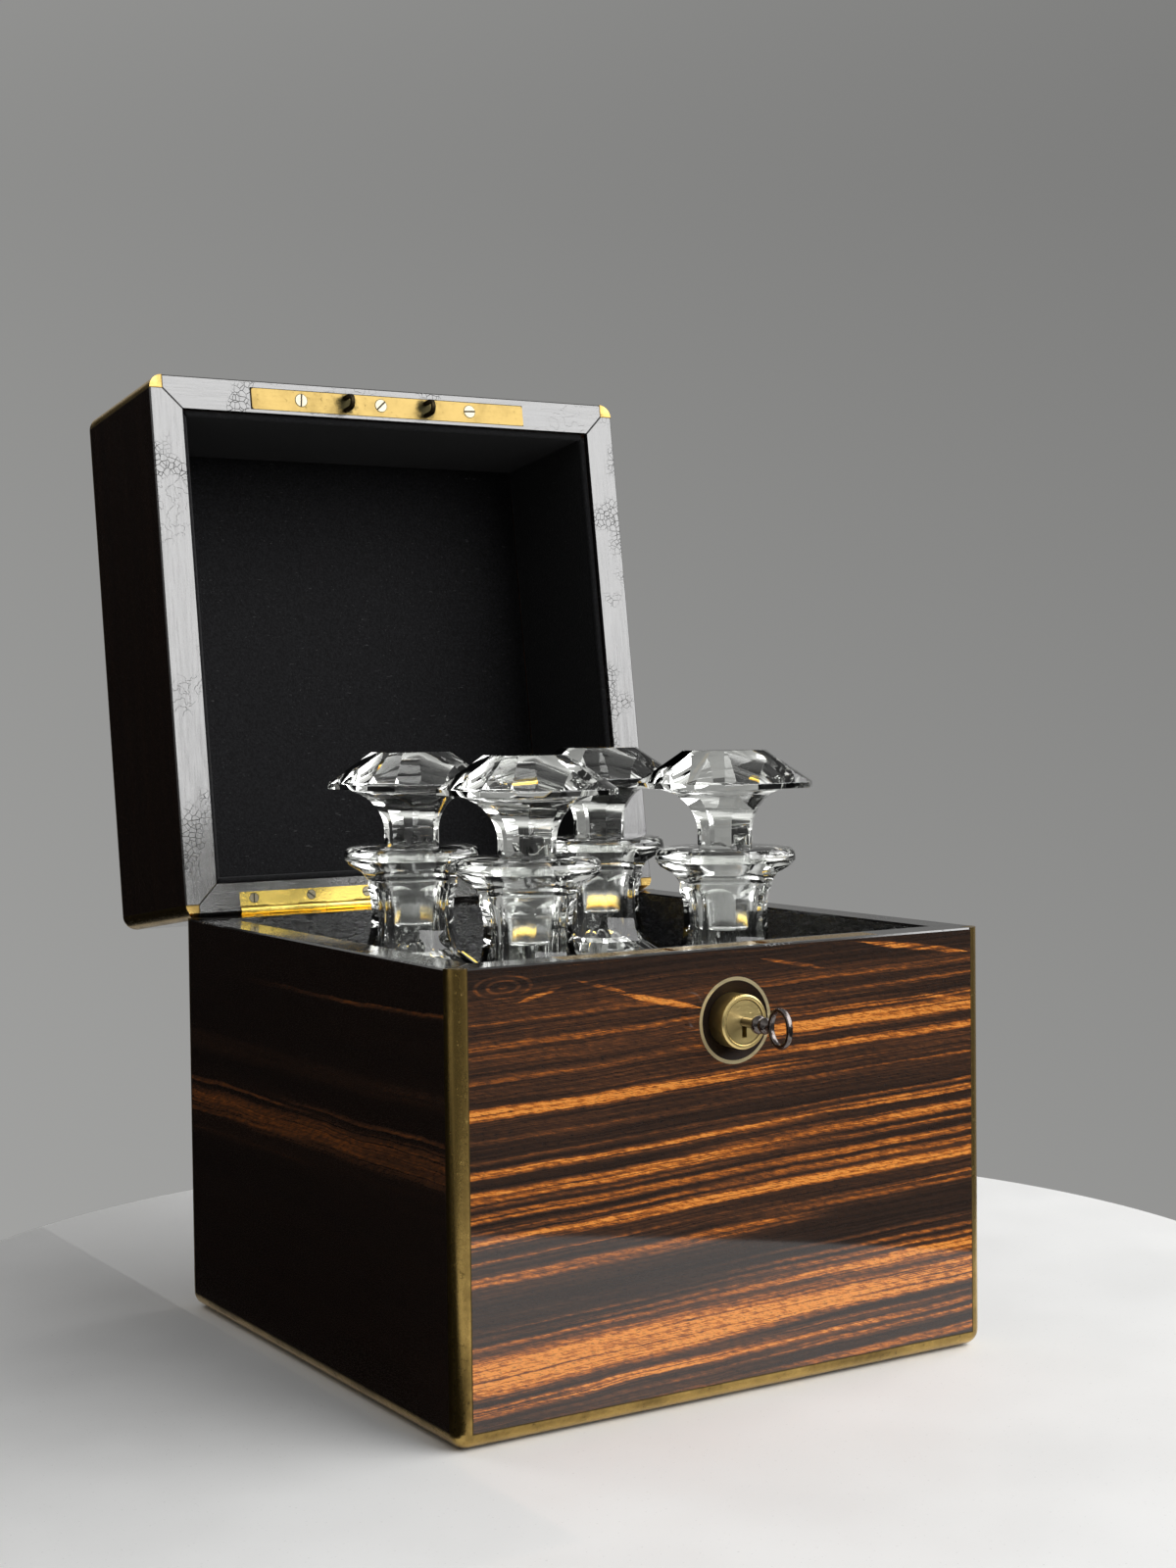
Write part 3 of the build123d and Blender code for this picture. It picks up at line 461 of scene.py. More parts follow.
veneer_height = 161.0
leaves = {
    "front": dict(
        seed=2.0, slope=0.033, sway=0.0016, wander=0.0007, warmth=0.3,
        ground=[(24, 20, 0.35), (68, 14, 0.2), (132, 32, 0.42)],
        left=[(8, 1.2, 0.25), (12, 1.0, 0.2), (17, 2.2, 0.72), (28.6, 8.4, 0.86), (38.4, 1.0, 0.5),
              (40.8, 0.8, 0.42), (43.4, 0.7, 0.34), (60.4, 2.4, 0.5), (66.8, 1.0, 0.36),
              (73.2, 2.2, 0.86), (77.0, 1.1, 0.45), (81.6, 2.0, 0.66), (85.2, 0.8, 0.3),
              (88.6, 2.5, 0.8), (96.2, 1.6, 0.88), (100.6, 0.9, 0.3), (107, 1.0, 0.22),
              (115.8, 2.8, 0.86), (127, 1.2, 0.2), (138, 1.6, 0.26), (146, 1.0, 0.2)],
        right=[(6.5, 2.0, 0.55), (13.4, 1.1, 0.42), (16.4, 1.2, 0.46), (20, 0.9, 0.3),
               (28.0, 5.8, 0.92), (38.0, 2.9, 0.86), (42.6, 1.0, 0.55), (45.6, 0.9, 0.5),
               (49.2, 0.7, 0.36), (64.4, 2.4, 0.5), (73.4, 2.4, 0.9), (78.2, 1.4, 0.55),
               (82.2, 1.8, 0.62), (87.0, 1.0, 0.45), (91.4, 2.4, 0.78), (97.8, 1.5, 0.9),
               (100.8, 0.8, 0.5), (110.8, 1.0, 0.34), (121.8, 1.6, 0.7), (129.6, 3.6, 0.95),
               (134.6, 1.2, 0.6), (141, 1.2, 0.25), (146, 0.9, 0.3)]),
    # The left leaves have their streaks and warmth turned down: dark wood, and painted shade besides.
    "left": dict(
        seed=11.0, slope=-0.015, sway=0.004, wander=0.0012, warmth=0.06, ground=[(90, 16, 0.12)],
        left=[(91.5, 7.5, 0.34), (100.5, 1.0, 0.3), (114, 4, 0.1), (143, 1.0, 0.4)],
        right=[(79, 1.2, 0.12), (90, 6.5, 0.38), (98.5, 1.1, 0.35), (114, 5, 0.1)]),
    "lid_left": dict(
        seed=31.0, slope=-0.02, sway=0.004, wander=0.0012, warmth=0.1, ground=[(60, 20, 0.05)],
        left=[(20, 1.2, 0.12), (48, 5, 0.16), (66, 1.0, 0.2)],
        right=[(18, 2, 0.12), (44, 4, 0.14), (60, 1.0, 0.16)]),
    "right": dict(
        seed=17.0, slope=0.02, sway=0.004, wander=0.0012, warmth=0.25, ground=[(70, 60, 0.2)],
        left=[(31, 4, 0.4), (58, 1.2, 0.3), (77, 2.2, 0.4), (104, 5, 0.35), (133, 1.4, 0.35)],
        right=[(28, 3, 0.35), (60, 1.2, 0.3), (79, 2.6, 0.5), (107, 4, 0.3), (140, 1.4, 0.3)]),
    "back": dict(
        seed=23.0, slope=-0.02, sway=0.005, wander=0.0012, warmth=0.3, ground=[(60, 50, 0.2)],
        left=[(22, 4, 0.5), (47, 1.4, 0.4), (52, 1.2, 0.3), (84, 6, 0.4), (119, 2, 0.4),
              (146, 1.4, 0.3)],
        right=[(24, 3, 0.4), (44, 1.4, 0.4), (56, 1.2, 0.3), (86, 5, 0.5), (122, 2, 0.4),
               (142, 1.4, 0.3)]),
}
front_strokes = (
    ((-0.051, 0.1492), (-0.014, 0.1408), 0.0015, 0.85),
    ((-0.068, 0.1552), (-0.046, 0.1488), 0.0009, 0.4),
    ((-0.091, 0.1488), (-0.072, 0.1536), 0.0011, 0.6),
    ((0.053, 0.1600), (0.110, 0.1522), 0.0015, 0.85),
    ((0.008, 0.1575), (0.040, 0.1508), 0.0009, 0.35),
    ((0.080, 0.1390), (0.106, 0.1345), 0.0012, 0.4),
)


def veneer_finish(name, axis, leaf, lid=False, base=0.0, across_axis=2):
    """Polished veneer with its grain along one axis."""
    made, tree, shader = material(name)
    where = shut_place(tree, lid)
    parts = split(where)
    along, across = parts[axis], parts[across_axis] - base
    inputs = {"Along": along, "Across": across}
    inputs.update({label: leaf[label.lower()] for label in ("Seed", "Slope", "Sway", "Wander")})
    level = put(tree, flow, inputs)["Level"]
    side = eased(grain_noise(along, across, 5.0, 8, 60) * 0.12 + along, 0.02, 0.12)
    left, right, warmth = (streaks(level, veneer_height, leaf[key])
                           for key in ("left", "right", "ground"))
    strength = add(tree, "Mix", {0: side, 2: left, 3: right}).outputs[0]
    if name == "front_veneer":
        strength = strength + knot(along, across, (-0.0956, 0.154), (0.016, 0.0055), 0.24)
        waved = level - along * -leaf["slope"]
        for first, last, half, power in front_strokes:
            strength = strength + stroke(along, waved, first, last, half, power)
    inputs = {"Along": along, "Level": level, "Seed": leaf["seed"], "Streak": strength,
              "Warmth": warmth + leaf["warmth"]}
    surface(shader, put(tree, figure, inputs), 0.00006, Coat_Weight=1.0, Coat_Roughness=0.045,
            Coat_IOR=1.55, Specular_IOR_Level=0.05)
    return made


lid_base, back_edge = 0.078, -0.08
for side, axis in (("front", 0), ("back", 0), ("left", 1), ("right", 1)):
    dress(veneer_finish(f"{side}_veneer", axis, leaves[side]), f"{side}_veneer")
    leaf = leaves["lid_left" if side == "left" else side]
    dress(veneer_finish(f"lid_{side}_veneer", axis, leaf, True, lid_base), f"lid_{side}_veneer")
dress(veneer_finish("lid_top_veneer", 0, leaves["back"], True, back_edge, 1), "lid_top_veneer")

# ---- Ebonised rims ----------------------------------------------------------------------------
# The meeting edges of case and lid are faced with thin ebonised wood, mitred at the corners and
# varnished. The varnish shows the brush and has crazed in places.

rim_wood, start, end = group("ebonised_wood", {"Place": (0, 0, 0), "Worn": 1.0})
place = start["Place"]
parts = split(place)
gap = abs(parts[0]) - abs(parts[1])
on_side = maths("GREATER_THAN", gap, 0)
joint = eased(abs(gap), 0.0003, 0.0006, 1, 0)
brushed_x = cloud(drawn_out(place, (38, 900, 900)), 1, 4, 0.7)
brushed_y = cloud(drawn_out(place, (900, 38, 900)), 1, 4, 0.7)
brushed = add(rim_wood, "Mix", {0: on_side, 2: brushed_x, 3: brushed_y}).outputs[0]
ripples = cloud(place, 120, 3, 0.6)
runs = eased(abs(cloud(place, 210, 2, 0.5) - 0.5), 0.0, 0.03, 1, 0)
runs = runs * eased(cloud(place, 26, 2), 0.54, 0.62)
crazed = add(rim_wood, "TexVoronoi", {"Vector": place, "Scale": 420, "Randomness": 1.0},
             feature="DISTANCE_TO_EDGE").outputs[0]
crazed = eased(crazed, 0.0, 0.06, 1, 0) * eased(cloud(place, 32, 2), 0.56, 0.66)
marks = larger(joint, crazed * 0.8)
black = mixed(eased(ripples, 0.3, 0.7), (0.012, 0.011, 0.011, 1), (0.022, 0.019, 0.018, 1))
black = mixed(marks, black, (0.002, 0.002, 0.002, 1))
rough = eased(brushed, 0.25, 0.75, 0.14, 0.3) * start["Worn"]
height = brushed * 0.8 + ripples * 0.2
height = runs * 0.35 + height - marks
fill(rim_wood, end, {"Color": black, "Roughness": larger(rough, marks), "Height": height})

for name, worn, depth in (("case_rim", 0.4, 0.00003), ("lid_rim", 1.0, 0.00012)):
    ebony, tree, shader = material(name)
    where = shut_place(tree, name == "lid_rim")
    surface(shader, put(tree, rim_wood, {"Place": where, "Worn": worn}), depth, IOR=2.2)
    dress(ebony, name)

# ---- Brass edging -----------------------------------------------------------------------------
# Solid quarter-round brass let into every outer edge, mitred where three strips meet. It is dull
# and brown in the hollows and along the wood, and rubbed bright on the round.

aged_brass, start, end = group(
    "aged_brass",
    {"Place": (0, 0, 0), "Rubbed": 0.5, "Dirt": 0.0, "Tarnish": 0.5,
     "Bright": (0.64, 0.41, 0.115, 1), "Dull": (0.17, 0.105, 0.03, 1), "Shine": 0.22})
place = start["Place"]
spots = cloud(place, 520, 3, 0.6)
scratches = cloud(drawn_out(place, (60, 5200, 900)), 1, 2, 0.6)
dull = cloud(place, 55, 4, 0.6) * 0.9 + spots * 0.25
dull = eased(dull - 1.02 + start["Tarnish"] - start["Rubbed"] * 0.35, -0.2, 0.5)
colour = mixed(dull, start["Bright"], start["Dull"])
pits = eased(spots, 0.64, 0.72)
dirt = larger(start["Dirt"], pits * (dull * 0.7))
colour = mixed(dirt, colour, (0.018, 0.014, 0.009, 1))
rough = (scratches - 0.5) * 0.12 + (dull * 0.2 + start["Shine"])
height = scratches * 0.25 + spots * 0.5 - pits
fill(aged_brass, end, {"Color": colour, "Roughness": dirt * 0.3 + rough, "Height": height})

edge_radius = 0.006
case_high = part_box("case_corner_strips")[1]
base_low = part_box("base_edge_strips")[0]
lid_top = 0.24


def edge_finish(name, lid):
    """Brass edging, darker towards the wood it is let into."""
    made, tree, shader = material(name)
    where = shut_place(tree, lid)
    parts = split(where)
    a, b = (case_high.x - abs(parts[n]) for n in (0, 1))
    c = lid_top - parts[2] if lid else parts[2] - base_low.z
    middle = larger(smaller(a, b), smaller(larger(a, b), c))
    wood_line = eased(middle, edge_radius - 0.0007, edge_radius - 0.0001)
    rubbed = eased(middle, 0.0012, 0.0045, 1, 0)
    inputs = {"Place": where, "Rubbed": rubbed, "Dirt": wood_line * 0.85}
    inputs.update(Tarnish=0.6, Bright=(0.52, 0.35, 0.11, 1), Dull=(0.13, 0.085, 0.028, 1))
    surface(shader, put(tree, aged_brass, inputs), 0.00006, Metallic=1.0)
    return made


dress(edge_finish("case_edge_brass", False), "case_corner_strips", "base_edge_strips")
dress(edge_finish("lid_edge_brass", True), "lid_corner_strips", "lid_edge_strips")


def veneer_rim_edge(name, prefix, to_shut, brass_name):
    """Carries the veneer and the brass corners up over the outer edge of a rim."""
    made = nodes[name]
    for side in ("front", "back", "left", "right"):
        made.data.materials.append(bpy.data.materials[f"{prefix}{side}_veneer"])
    made.data.materials.append(bpy.data.materials[brass_name])
    first = len(made.data.materials) - 5
    round_middle = case_high.x - edge_radius
    for face in made.data.polygons:
        centre, normal = to_shut @ face.center, to_shut.to_3x3() @ face.normal
        past = Vector((abs(centre.x) - round_middle, abs(centre.y) - round_middle))
        if abs(normal.z) > 0.3 or max(past) < 0:
            continue
        if min(past) > 0:
            if past.length > 0.9 * edge_radius:
                face.material_index = first + 4
        elif max(past) > 0.9 * edge_radius:
            across = past.x > past.y
            side = 2 + (centre.x > 0) if across else int(centre.y > 0)
            face.material_index = first + side


veneer_rim_edge("case_rim", "", Matrix.Identity(4), "case_edge_brass")
veneer_rim_edge("lid_rim", "lid_", lid_open.inverted(), "lid_edge_brass")

# ---- Lock -------------------------------------------------------------------------------------
# A brass box lock let into the front, with its plate flush in the rim. A turned boss stands out
# of a dark wooden dish with a thin brass ring round it, and the keyed barrel turns inside it.


def brass_finish(name, lid=False, turned_round=None, **values):
    """Brass with its own tarnish, and turning marks round an axis where it came off a lathe."""
    made, tree, shader = material(name)
    where = shut_place(tree, lid)
    metal = put(tree, aged_brass, {"Place": where, **values})
    height, rough = metal["Height"], metal["Roughness"]
    if turned_round:
        parts = split(where)
        far = length_of(parts[0] - turned_round[0], parts[2] - turned_round[1])
        ridges = grain_noise(far, parts[1], 3.0, 7000, 30, 2)
        height = ridges * 0.5 + height
        rough = ridges * 0.1 + rough
        groove = eased(abs(far - groove_radius), 0.00005, 0.0004, 0.9, 0)
        tree.links.new(groove, metal["Color"].node.inputs["Dirt"])
    feed(shader, Base_Color=metal["Color"], Roughness=rough, Metallic=1.0)
    feed(shader, Normal=bump(height, 0.00004))
    return made


lock_axis = (-0.001, 0.135)
groove_radius = 0.0079
lock_brass = brass_finish("lock_brass", Tarnish=0.55, Shine=0.25)
boss_brass = brass_finish("boss_brass", turned_round=lock_axis, Tarnish=0.42, Shine=0.28,
                          Bright=(0.95, 0.74, 0.32, 1), Dull=(0.44, 0.31, 0.11, 1))
ring_brass = brass_finish("ring_brass", Tarnish=0.1, Shine=0.34, Bright=(1.0, 0.84, 0.50, 1),
                          Dull=(0.62, 0.46, 0.2, 1))
dress(lock_brass, "lock_case", "lock_cap", "bolt")
dress(brass_finish("spring_brass", Tarnish=0.4, Shine=0.2), "bolt_spring")
dress(boss_brass, "lock_boss", "lock_barrel")
dress(ring_brass, "keyhole_ring")

dark_wood, tree, shader = material("dark_dish")
inputs = {"Place": object_place(tree), "Light": (0.020, 0.011, 0.008, 1),
          "Dark": (0.006, 0.0035, 0.003, 1)}
surface(shader, put(tree, plain_wood, inputs), 0.00006, Specular_IOR_Level=0.1)
dress(dark_wood, "keyhole_recess")

# ---- Key --------------------------------------------------------------------------------------
# A slender dark steel key, forged and filed: a turned shank with two collars, an oval bow and a
# small bit with a notch.

steel, tree, shader = material("key_steel")
place = object_place(tree)
blotches = cloud(place, 180, 4, 0.6)
rust = eased(cloud(place, 420, 3, 0.7), 0.52, 0.72)
tone = mixed(blotches, (0.085, 0.072, 0.066, 1), (0.25, 0.225, 0.215, 1))
tone = mixed(rust * 0.7, tone, (0.055, 0.03, 0.02, 1))
feed(shader, Base_Color=tone, Metallic=1.0, Roughness=eased(blotches, 0.3, 0.7, 0.12, 0.3))
feed(shader, Normal=bump(blotches - rust, 0.00004))

bow_half = Vector((0, 0.0053, 0.0063))
bow_middle = Vector((lock_axis[0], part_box("key")[0].y + 0.0062, lock_axis[1]))
bow_thick = (0.00088, 0.00108)
bow_steps, wire_steps = 56, 16
shank_radius = 0.00175
collars = Vector((lock_axis[0], -0.1276, lock_axis[1]))
outline = [(0.0, 0.0210), (0.00145, 0.0210), (shank_radius, 0.0207), (shank_radius, 0.0004),
           (0.0027, 0.0), (0.0033, -0.0008), (0.0033, -0.0018), (0.0028, -0.0027),
           (0.0021, -0.0032), (0.0021, -0.0038), (0.0027, -0.0044), (0.0030, -0.0052),
           (0.0027, -0.0061), (0.0020, -0.0068), (0.0016, -0.0075), (0.0015, -0.0084), (0.0, -0.0084)]


def close_tube(bm, rings):
    """Faces between rings of points that follow each other and come round to the first."""
    for ring, following in zip(rings, rings[1:] + rings[:1]):
        for m in range(len(ring)):
            k = (m + 1) % len(ring)
            bm.faces.new([ring[m], following[m], following[k], ring[k]])


shape = bmesh.new()
turned(shape, outline, collars, (0, 1, 0), (0, 0, 1), 40)
rings = []
for n in range(bow_steps):
    turn = 2 * math.pi * n / bow_steps
    centre = Vector((0, bow_half.y * math.cos(turn), bow_half.z * math.sin(turn)))
    spoke = Vector((0, math.cos(turn) / bow_half.y, math.sin(turn) / bow_half.z)).normalized()
    ring = []
    for m in range(wire_steps):
        angle = 2 * math.pi * m / wire_steps
        a, b = (math.copysign(abs(share) ** 0.6, share) for share in (math.cos(angle), math.sin(angle)))
        out = spoke * bow_thick[0] * a + Vector((bow_thick[1] * b, 0, 0))
        ring.append(shape.verts.new(bow_middle + centre + out))
    rings.append(ring)
close_tube(shape, rings)
bit_foot, bit_head = lock_axis[1] - 0.0053, lock_axis[1] - 0.0010
bit_back, bit_half = -0.1100, 0.0008
for start_y, end_y, notch in ((0, 0.001, 0), (0.001, 0.002, 0.0015), (0.002, 0.003, 0)):
    for corner in bmesh.ops.create_cube(shape, size=1)["verts"]:
        x = lock_axis[0] + math.copysign(bit_half, corner.co.x)
        y = bit_back + (start_y if corner.co.y < 0 else end_y)
        corner.co = (x, y, bit_foot + notch if corner.co.z < 0 else bit_head)
bmesh.ops.recalc_face_normals(shape, faces=shape.faces)
key = softly_shaded(object_from(shape, "steel_key", steel), 40)
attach(key, "key")
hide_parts("key")

# ---- Hinges and link plate --------------------------------------------------------------------
# Two butt hinges at the back and the lock's link plate at the front of the lid, filed from
# polished brass. The two eyes that the bolt catches have gone dark and green at the root.

hinge_brass = {"Tarnish": 0.3, "Shine": 0.2,
               "Bright": (0.86, 0.63, 0.16, 1), "Dull": (0.52, 0.35, 0.09, 1)}
dress(brass_finish("case_hinge_brass", **hinge_brass), "case_hinge_leaves", "hinge_pins")
dress(brass_finish("lid_hinge_brass", lid=True, **hinge_brass), "lid_hinge_leaves")

eye_places = (-0.024, 0.016)
plate_y = -0.10715
rim_foot = 0.1613


def rounded_border(where, low, high, radius):
    """Distance out from the outline of a plate with rounded corners, below 0 on the plate."""
    parts = split(where)
    past = []
    for n in (0, 1):
        middle, half = (low[n] + high[n]) / 2, (high[n] - low[n]) / 2 - radius
        past.append(abs(parts[n] - middle) - half)
    inner = smaller(larger(*past), 0)
    return inner + length_of(*(larger(value, 0) for value in past)) - radius


def verdigris(where):
    """How green the brass is, round the roots of the two eyes."""
    near = smaller(*(add(where.id_data, "VectorMath", {0: where, 1: (x, plate_y, rim_foot)},
                         operation="DISTANCE").outputs["Value"] for x in eye_places))
    return eased(cloud(where, 420, 3, 0.7) * 0.006 + near, 0.005, 0.009, 1, 0)


link_brass, tree, shader = material("link_brass")
where = shut_place(tree)
green = verdigris(where)
border = rounded_border(where, (-0.069, -0.1120), (0.067, -0.1023), 0.0014)
dirt = larger(eased(border, -0.0004, -0.0001), green * 0.75)
metal = put(tree, aged_brass, {"Place": where, "Tarnish": 0.55, "Shine": 0.36, "Dirt": dirt,
                               "Bright": (0.28, 0.2, 0.07, 1), "Dull": (0.15, 0.1, 0.03, 1)})
colour = mixed(green * 0.6, metal["Color"], (0.022, 0.026, 0.014, 1))
feed(shader, Base_Color=colour, Metallic=1.0, Roughness=metal["Roughness"])
feed(shader, Normal=bump(metal["Height"], 0.00004))
dress(link_brass, "link_plate")
dress(brass_finish("eye_brass", lid=True, Tarnish=0.9, Shine=0.3, Bright=(0.20, 0.15, 0.07, 1),
                   Dull=(0.02, 0.016, 0.009, 1), Dirt=0.5), "link_eyes")

# ---- Screws -----------------------------------------------------------------------------------
# Flat slotted brass screws hold the hinges and the link plate. Each is set by hand, so no two
# slots point the same way. The slots and a thin ring round each head are near black: dried
# polish, and painted shade where the slot and the edge of the head fall dark.

# Near-black finish for the slots and the rings round the heads: dried polish and painted shade.
screw_dirt, tree, shader = material("screw_dirt")
dust = cloud(object_place(tree), 900, 2)
feed(shader, Base_Color=mixed(dust, (0.02, 0.016, 0.01, 1), (0.07, 0.06, 0.03, 1)), Roughness=0.8)
feed(shader, Normal=bump(dust, 0.00003))

screw_tree = bpy.data.node_groups.new("slotted_screws", "GeometryNodeTree")
face = screw_tree.interface
face.new_socket("Geometry", in_out="INPUT", socket_type="NodeSocketGeometry")
screw_sizes = {"Head Width": 0.004, "Proud": 0.0001, "Slot Width": 0.0006, "Slot Depth": 0.00008,
               "Dirt Width": 0.00016}
screw_sockets = {}
# The Dirt socket takes that near-black finish of dried polish and painted shade.
for label in (*screw_sizes, "Brass", "Dirt"):
    kind = "Float" if label in screw_sizes else "Material"
    made = face.new_socket(label, in_out="INPUT", socket_type=f"NodeSocket{kind}")
    if label in screw_sizes:
        made.default_value = screw_sizes[label]
    screw_sockets[label] = made.identifier
face.new_socket("Geometry", in_out="OUTPUT", socket_type="NodeSocketGeometry")
start = screw_tree.nodes.new("NodeGroupInput").outputs


def geometry(kind, inputs, **settings):
    """A geometry node of the screws' tree; gives its first output."""
    return add(screw_tree, f"GeometryNode{kind}", inputs, **settings).outputs[0]


def triple(x=0.0, y=0.0, z=0.0):
    return add(screw_tree, "CombineXYZ", {0: x, 1: y, 2: z}).outputs[0]


def disc(foot_radius, head_radius, depth, foot):
    """Round disc that stands on a level below the wood."""
    inputs = {"Vertices": 40, "Radius Top": head_radius, "Radius Bottom": foot_radius, "Depth": depth}
    return geometry("Transform", {"Geometry": geometry("MeshCone", inputs), "Translation": foot})


# Each screw is made in millimetres, because a cut this small fails in metres.
width, proud, slot_width, slot_depth, dirt_shade_width = (start[label] * 1000 for label in screw_sizes)
half = width * 0.5
sunk, bevel = 0.3, 0.1
drop = triple(z=-sunk)
head = disc(half, half - bevel, proud + sunk, drop)
cutter = geometry("MeshCube", {"Size": triple(width * 1.2, slot_width, slot_depth * 2)})
cutter = geometry("Transform", {"Geometry": cutter, "Translation": triple(z=proud)})
slotted = geometry("MeshBoolean", {"Mesh 1": head, "Mesh 2": cutter}, operation="DIFFERENCE")
across = split(geometry("InputPosition", {}))[1]
# The slot's faces and a thin seat just wider than the head take it, as painted shade and polish.
inside = maths("LESS_THAN", abs(across), slot_width * 0.52)
wide = half + dirt_shade_width
seat = disc(wide, wide, proud * 0.35 + sunk, drop)
screw = screw_tree.nodes.new("GeometryNodeJoinGeometry")
for piece, dirty in ((slotted, inside), (seat, 1.0)):
    inputs = {"Geometry": piece, "Name": "dirty", "Value": dirty}
    piece = geometry("StoreNamedAttribute", inputs, data_type="FLOAT", domain="FACE")
    screw_tree.links.new(piece, screw.inputs[0])
screw = geometry("Transform", {"Geometry": screw.outputs[0], "Scale": (0.001, 0.001, 0.001)})
turn = geometry("InputNamedAttribute", {"Name": "turn"}, data_type="FLOAT_VECTOR")
inputs = {"Points": start["Geometry"], "Instance": screw, "Rotation": turn}
screws = geometry("RealizeInstances", {0: geometry("InstanceOnPoints", inputs)})
screws = geometry("SetMaterial", {"Geometry": screws, "Material": start["Brass"]})
dirty = geometry("InputNamedAttribute", {"Name": "dirty"}, data_type="FLOAT")
screws = geometry("SetMaterial", {"Geometry": screws, "Selection": maths("GREATER_THAN", dirty, 0.5),
                                  "Material": start["Dirt"]})
screw_tree.links.new(screws, screw_tree.nodes.new("NodeGroupOutput").inputs[0])


def plain_mesh(made):
    """The object's evaluated mesh as its own, with no modifiers left."""
    graph = bpy.context.evaluated_depsgraph_get()
    mesh = bpy.data.meshes.new_from_object(made.evaluated_get(graph))
    made.modifiers.clear()
    made.data = mesh
    mesh.name = made.name
    return made


def set_screws(name, body, slot, finish, places, **values):
    """Screws at their places, each a point, the way it faces and how far its slot is turned."""
    shape = bmesh.new()
    for point, facing, turn in places:
        shape.verts.new(point)
    made = object_from(shape, name)
    turns = made.data.attributes.new("turn", "FLOAT_VECTOR", "POINT")
    for n, (point, facing, turn) in enumerate(places):
        spin = Matrix.Rotation(math.radians(turn), 3, "Z")
        stand = Vector(facing).to_track_quat("Z", "Y").to_matrix()
        turns.data[n].vector = (stand @ spin).to_euler()
    modifier = made.modifiers.new("screws", "NODES")
    modifier.node_group = screw_tree
    for label, value in {**values, "Brass": finish, "Dirt": screw_dirt}.items():
        modifier[screw_sockets[label]] = value
    bpy.context.view_layer.update()
    softly_shaded(plain_mesh(made), 30)
    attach(made, body)


hinge_places = (-0.0583, 0.0583)
screw_spread = 0.0263
screw_y = pin.y - 0.0052
rim_top = 0.161
hinge_slots = (88, -38, 12, 64, -71, 25)
case_screws = []
lid_screws = []
for n, slot in enumerate(hinge_slots):
    x = hinge_places[n // 3] + screw_spread * (n % 3 - 1)
    case_screws.append((Vector((x, screw_y, rim_top)), (0, 0, 1), slot + 31))
    lid_screws.append((Vector((x, screw_y, rim_foot)), (0, 0, -1), slot))
link_screws = [(Vector((x, -0.1076, rim_foot)), (0, 0, -1), turn)
               for x, turn in ((-0.0454, 84), (-0.0066, 42), (0.0384, 3))]


def thrown_back(places):
    """Screws of the shut lid, carried to where it stands open."""
    return [(lid_open @ point, lid_open.to_3x3() @ Vector(facing), turn)
            for point, facing, turn in places]


screw_brass = brass_finish("screw_brass", Tarnish=0.5, Shine=0.28, Bright=(0.34, 0.30, 0.22, 1),
                           Dull=(0.16, 0.13, 0.08, 1))
set_screws("case_hinge_screws", "case", "hinge_brass", screw_brass, case_screws)
set_screws("lid_hinge_screws", "lid", "hinge_brass", screw_brass, thrown_back(lid_screws))
set_screws("link_screws", "lid", "link_brass", screw_brass, thrown_back(link_screws),
           **{"Head Width": 0.0056, "Proud": 0.00022, "Slot Depth": 0.00018, "Slot Width": 0.0008})

# ---- Padding in the case ----------------------------------------------------------------------
# Soft pads covered in black leather cloth stand round the walls and on the floor, and hold the
# decanters from rattling. Above them the walls are lined with the same cloth, glued down flat.

# The Worn grey is rubbed wear on the creases, and painted sheen as well.
leather, start, end = group(
    "crinkled_cloth",
    {"Place": (0, 0, 0), "Dark": (0.012, 0.012, 0.014, 1), "Worn": (0.11, 0.11, 0.12, 1)})
place = start["Place"]
cells = add(leather, "TexVoronoi", {"Vector": place, "Scale": 900}, feature="SMOOTH_F1").outputs[0]
creases = abs(cloud(drawn_out(place, (130, 130, 420)), 1, 5, 0.65) * 2 - 1)
# Pale grey on the crease ridges: rubbed wear, and painted sheen where they catch the light.
rubbed = eased(cloud(place, 40, 3), 0.35, 0.7) * eased(creases, 0.05, 0.4)
colour = mixed(rubbed, start["Dark"], start["Worn"])
rough = eased(creases, 0.0, 0.5, 0.24, 0.42)
fill(leather, end, {"Color": colour, "Roughness": rough, "Height": cells * -0.3 + creases})

black_cloth, tree, shader = material("leather_cloth")
surface(shader, put(tree, leather, {"Place": object_place(tree)}), 0.0005, IOR=1.8)


def changed(made, kind, **settings):
    """Applies one modifier to the object, with its settings."""
    modifier = made.modifiers.new(kind.lower(), kind)
    for name, value in settings.items():
        setattr(modifier, name, value)
    plain_mesh(made)


def covered(made, finish):
    """Gives a pad its cover, and one subdivision."""
    made.data.materials.append(finish)
    changed(made, "SUBSURF", levels=1, render_levels=1)
    made.data.shade_smooth()


def stuffed(made, pressure, most):
    """Swells a closed mesh as its filling does, by a simulation, and by no more than most."""
    rest = [v.co.copy() for v in made.data.vertices]
    cloth = made.modifiers.new("filling", "CLOTH")
    cloth.settings.quality = 5
    cloth.settings.use_pressure = True
    cloth.settings.uniform_pressure_force = pressure
    cloth.settings.effector_weights.gravity = 0
    frames = 20
    cloth.point_cache.frame_end = frames
    for n in range(1, frames + 1):
        scene.frame_set(n)
    plain_mesh(made)
    scene.frame_set(1)
    for vertex, old in zip(made.data.vertices, rest):
        moved = vertex.co - old
        if moved.length > most:
            vertex.co = old + moved * (most / moved.length)


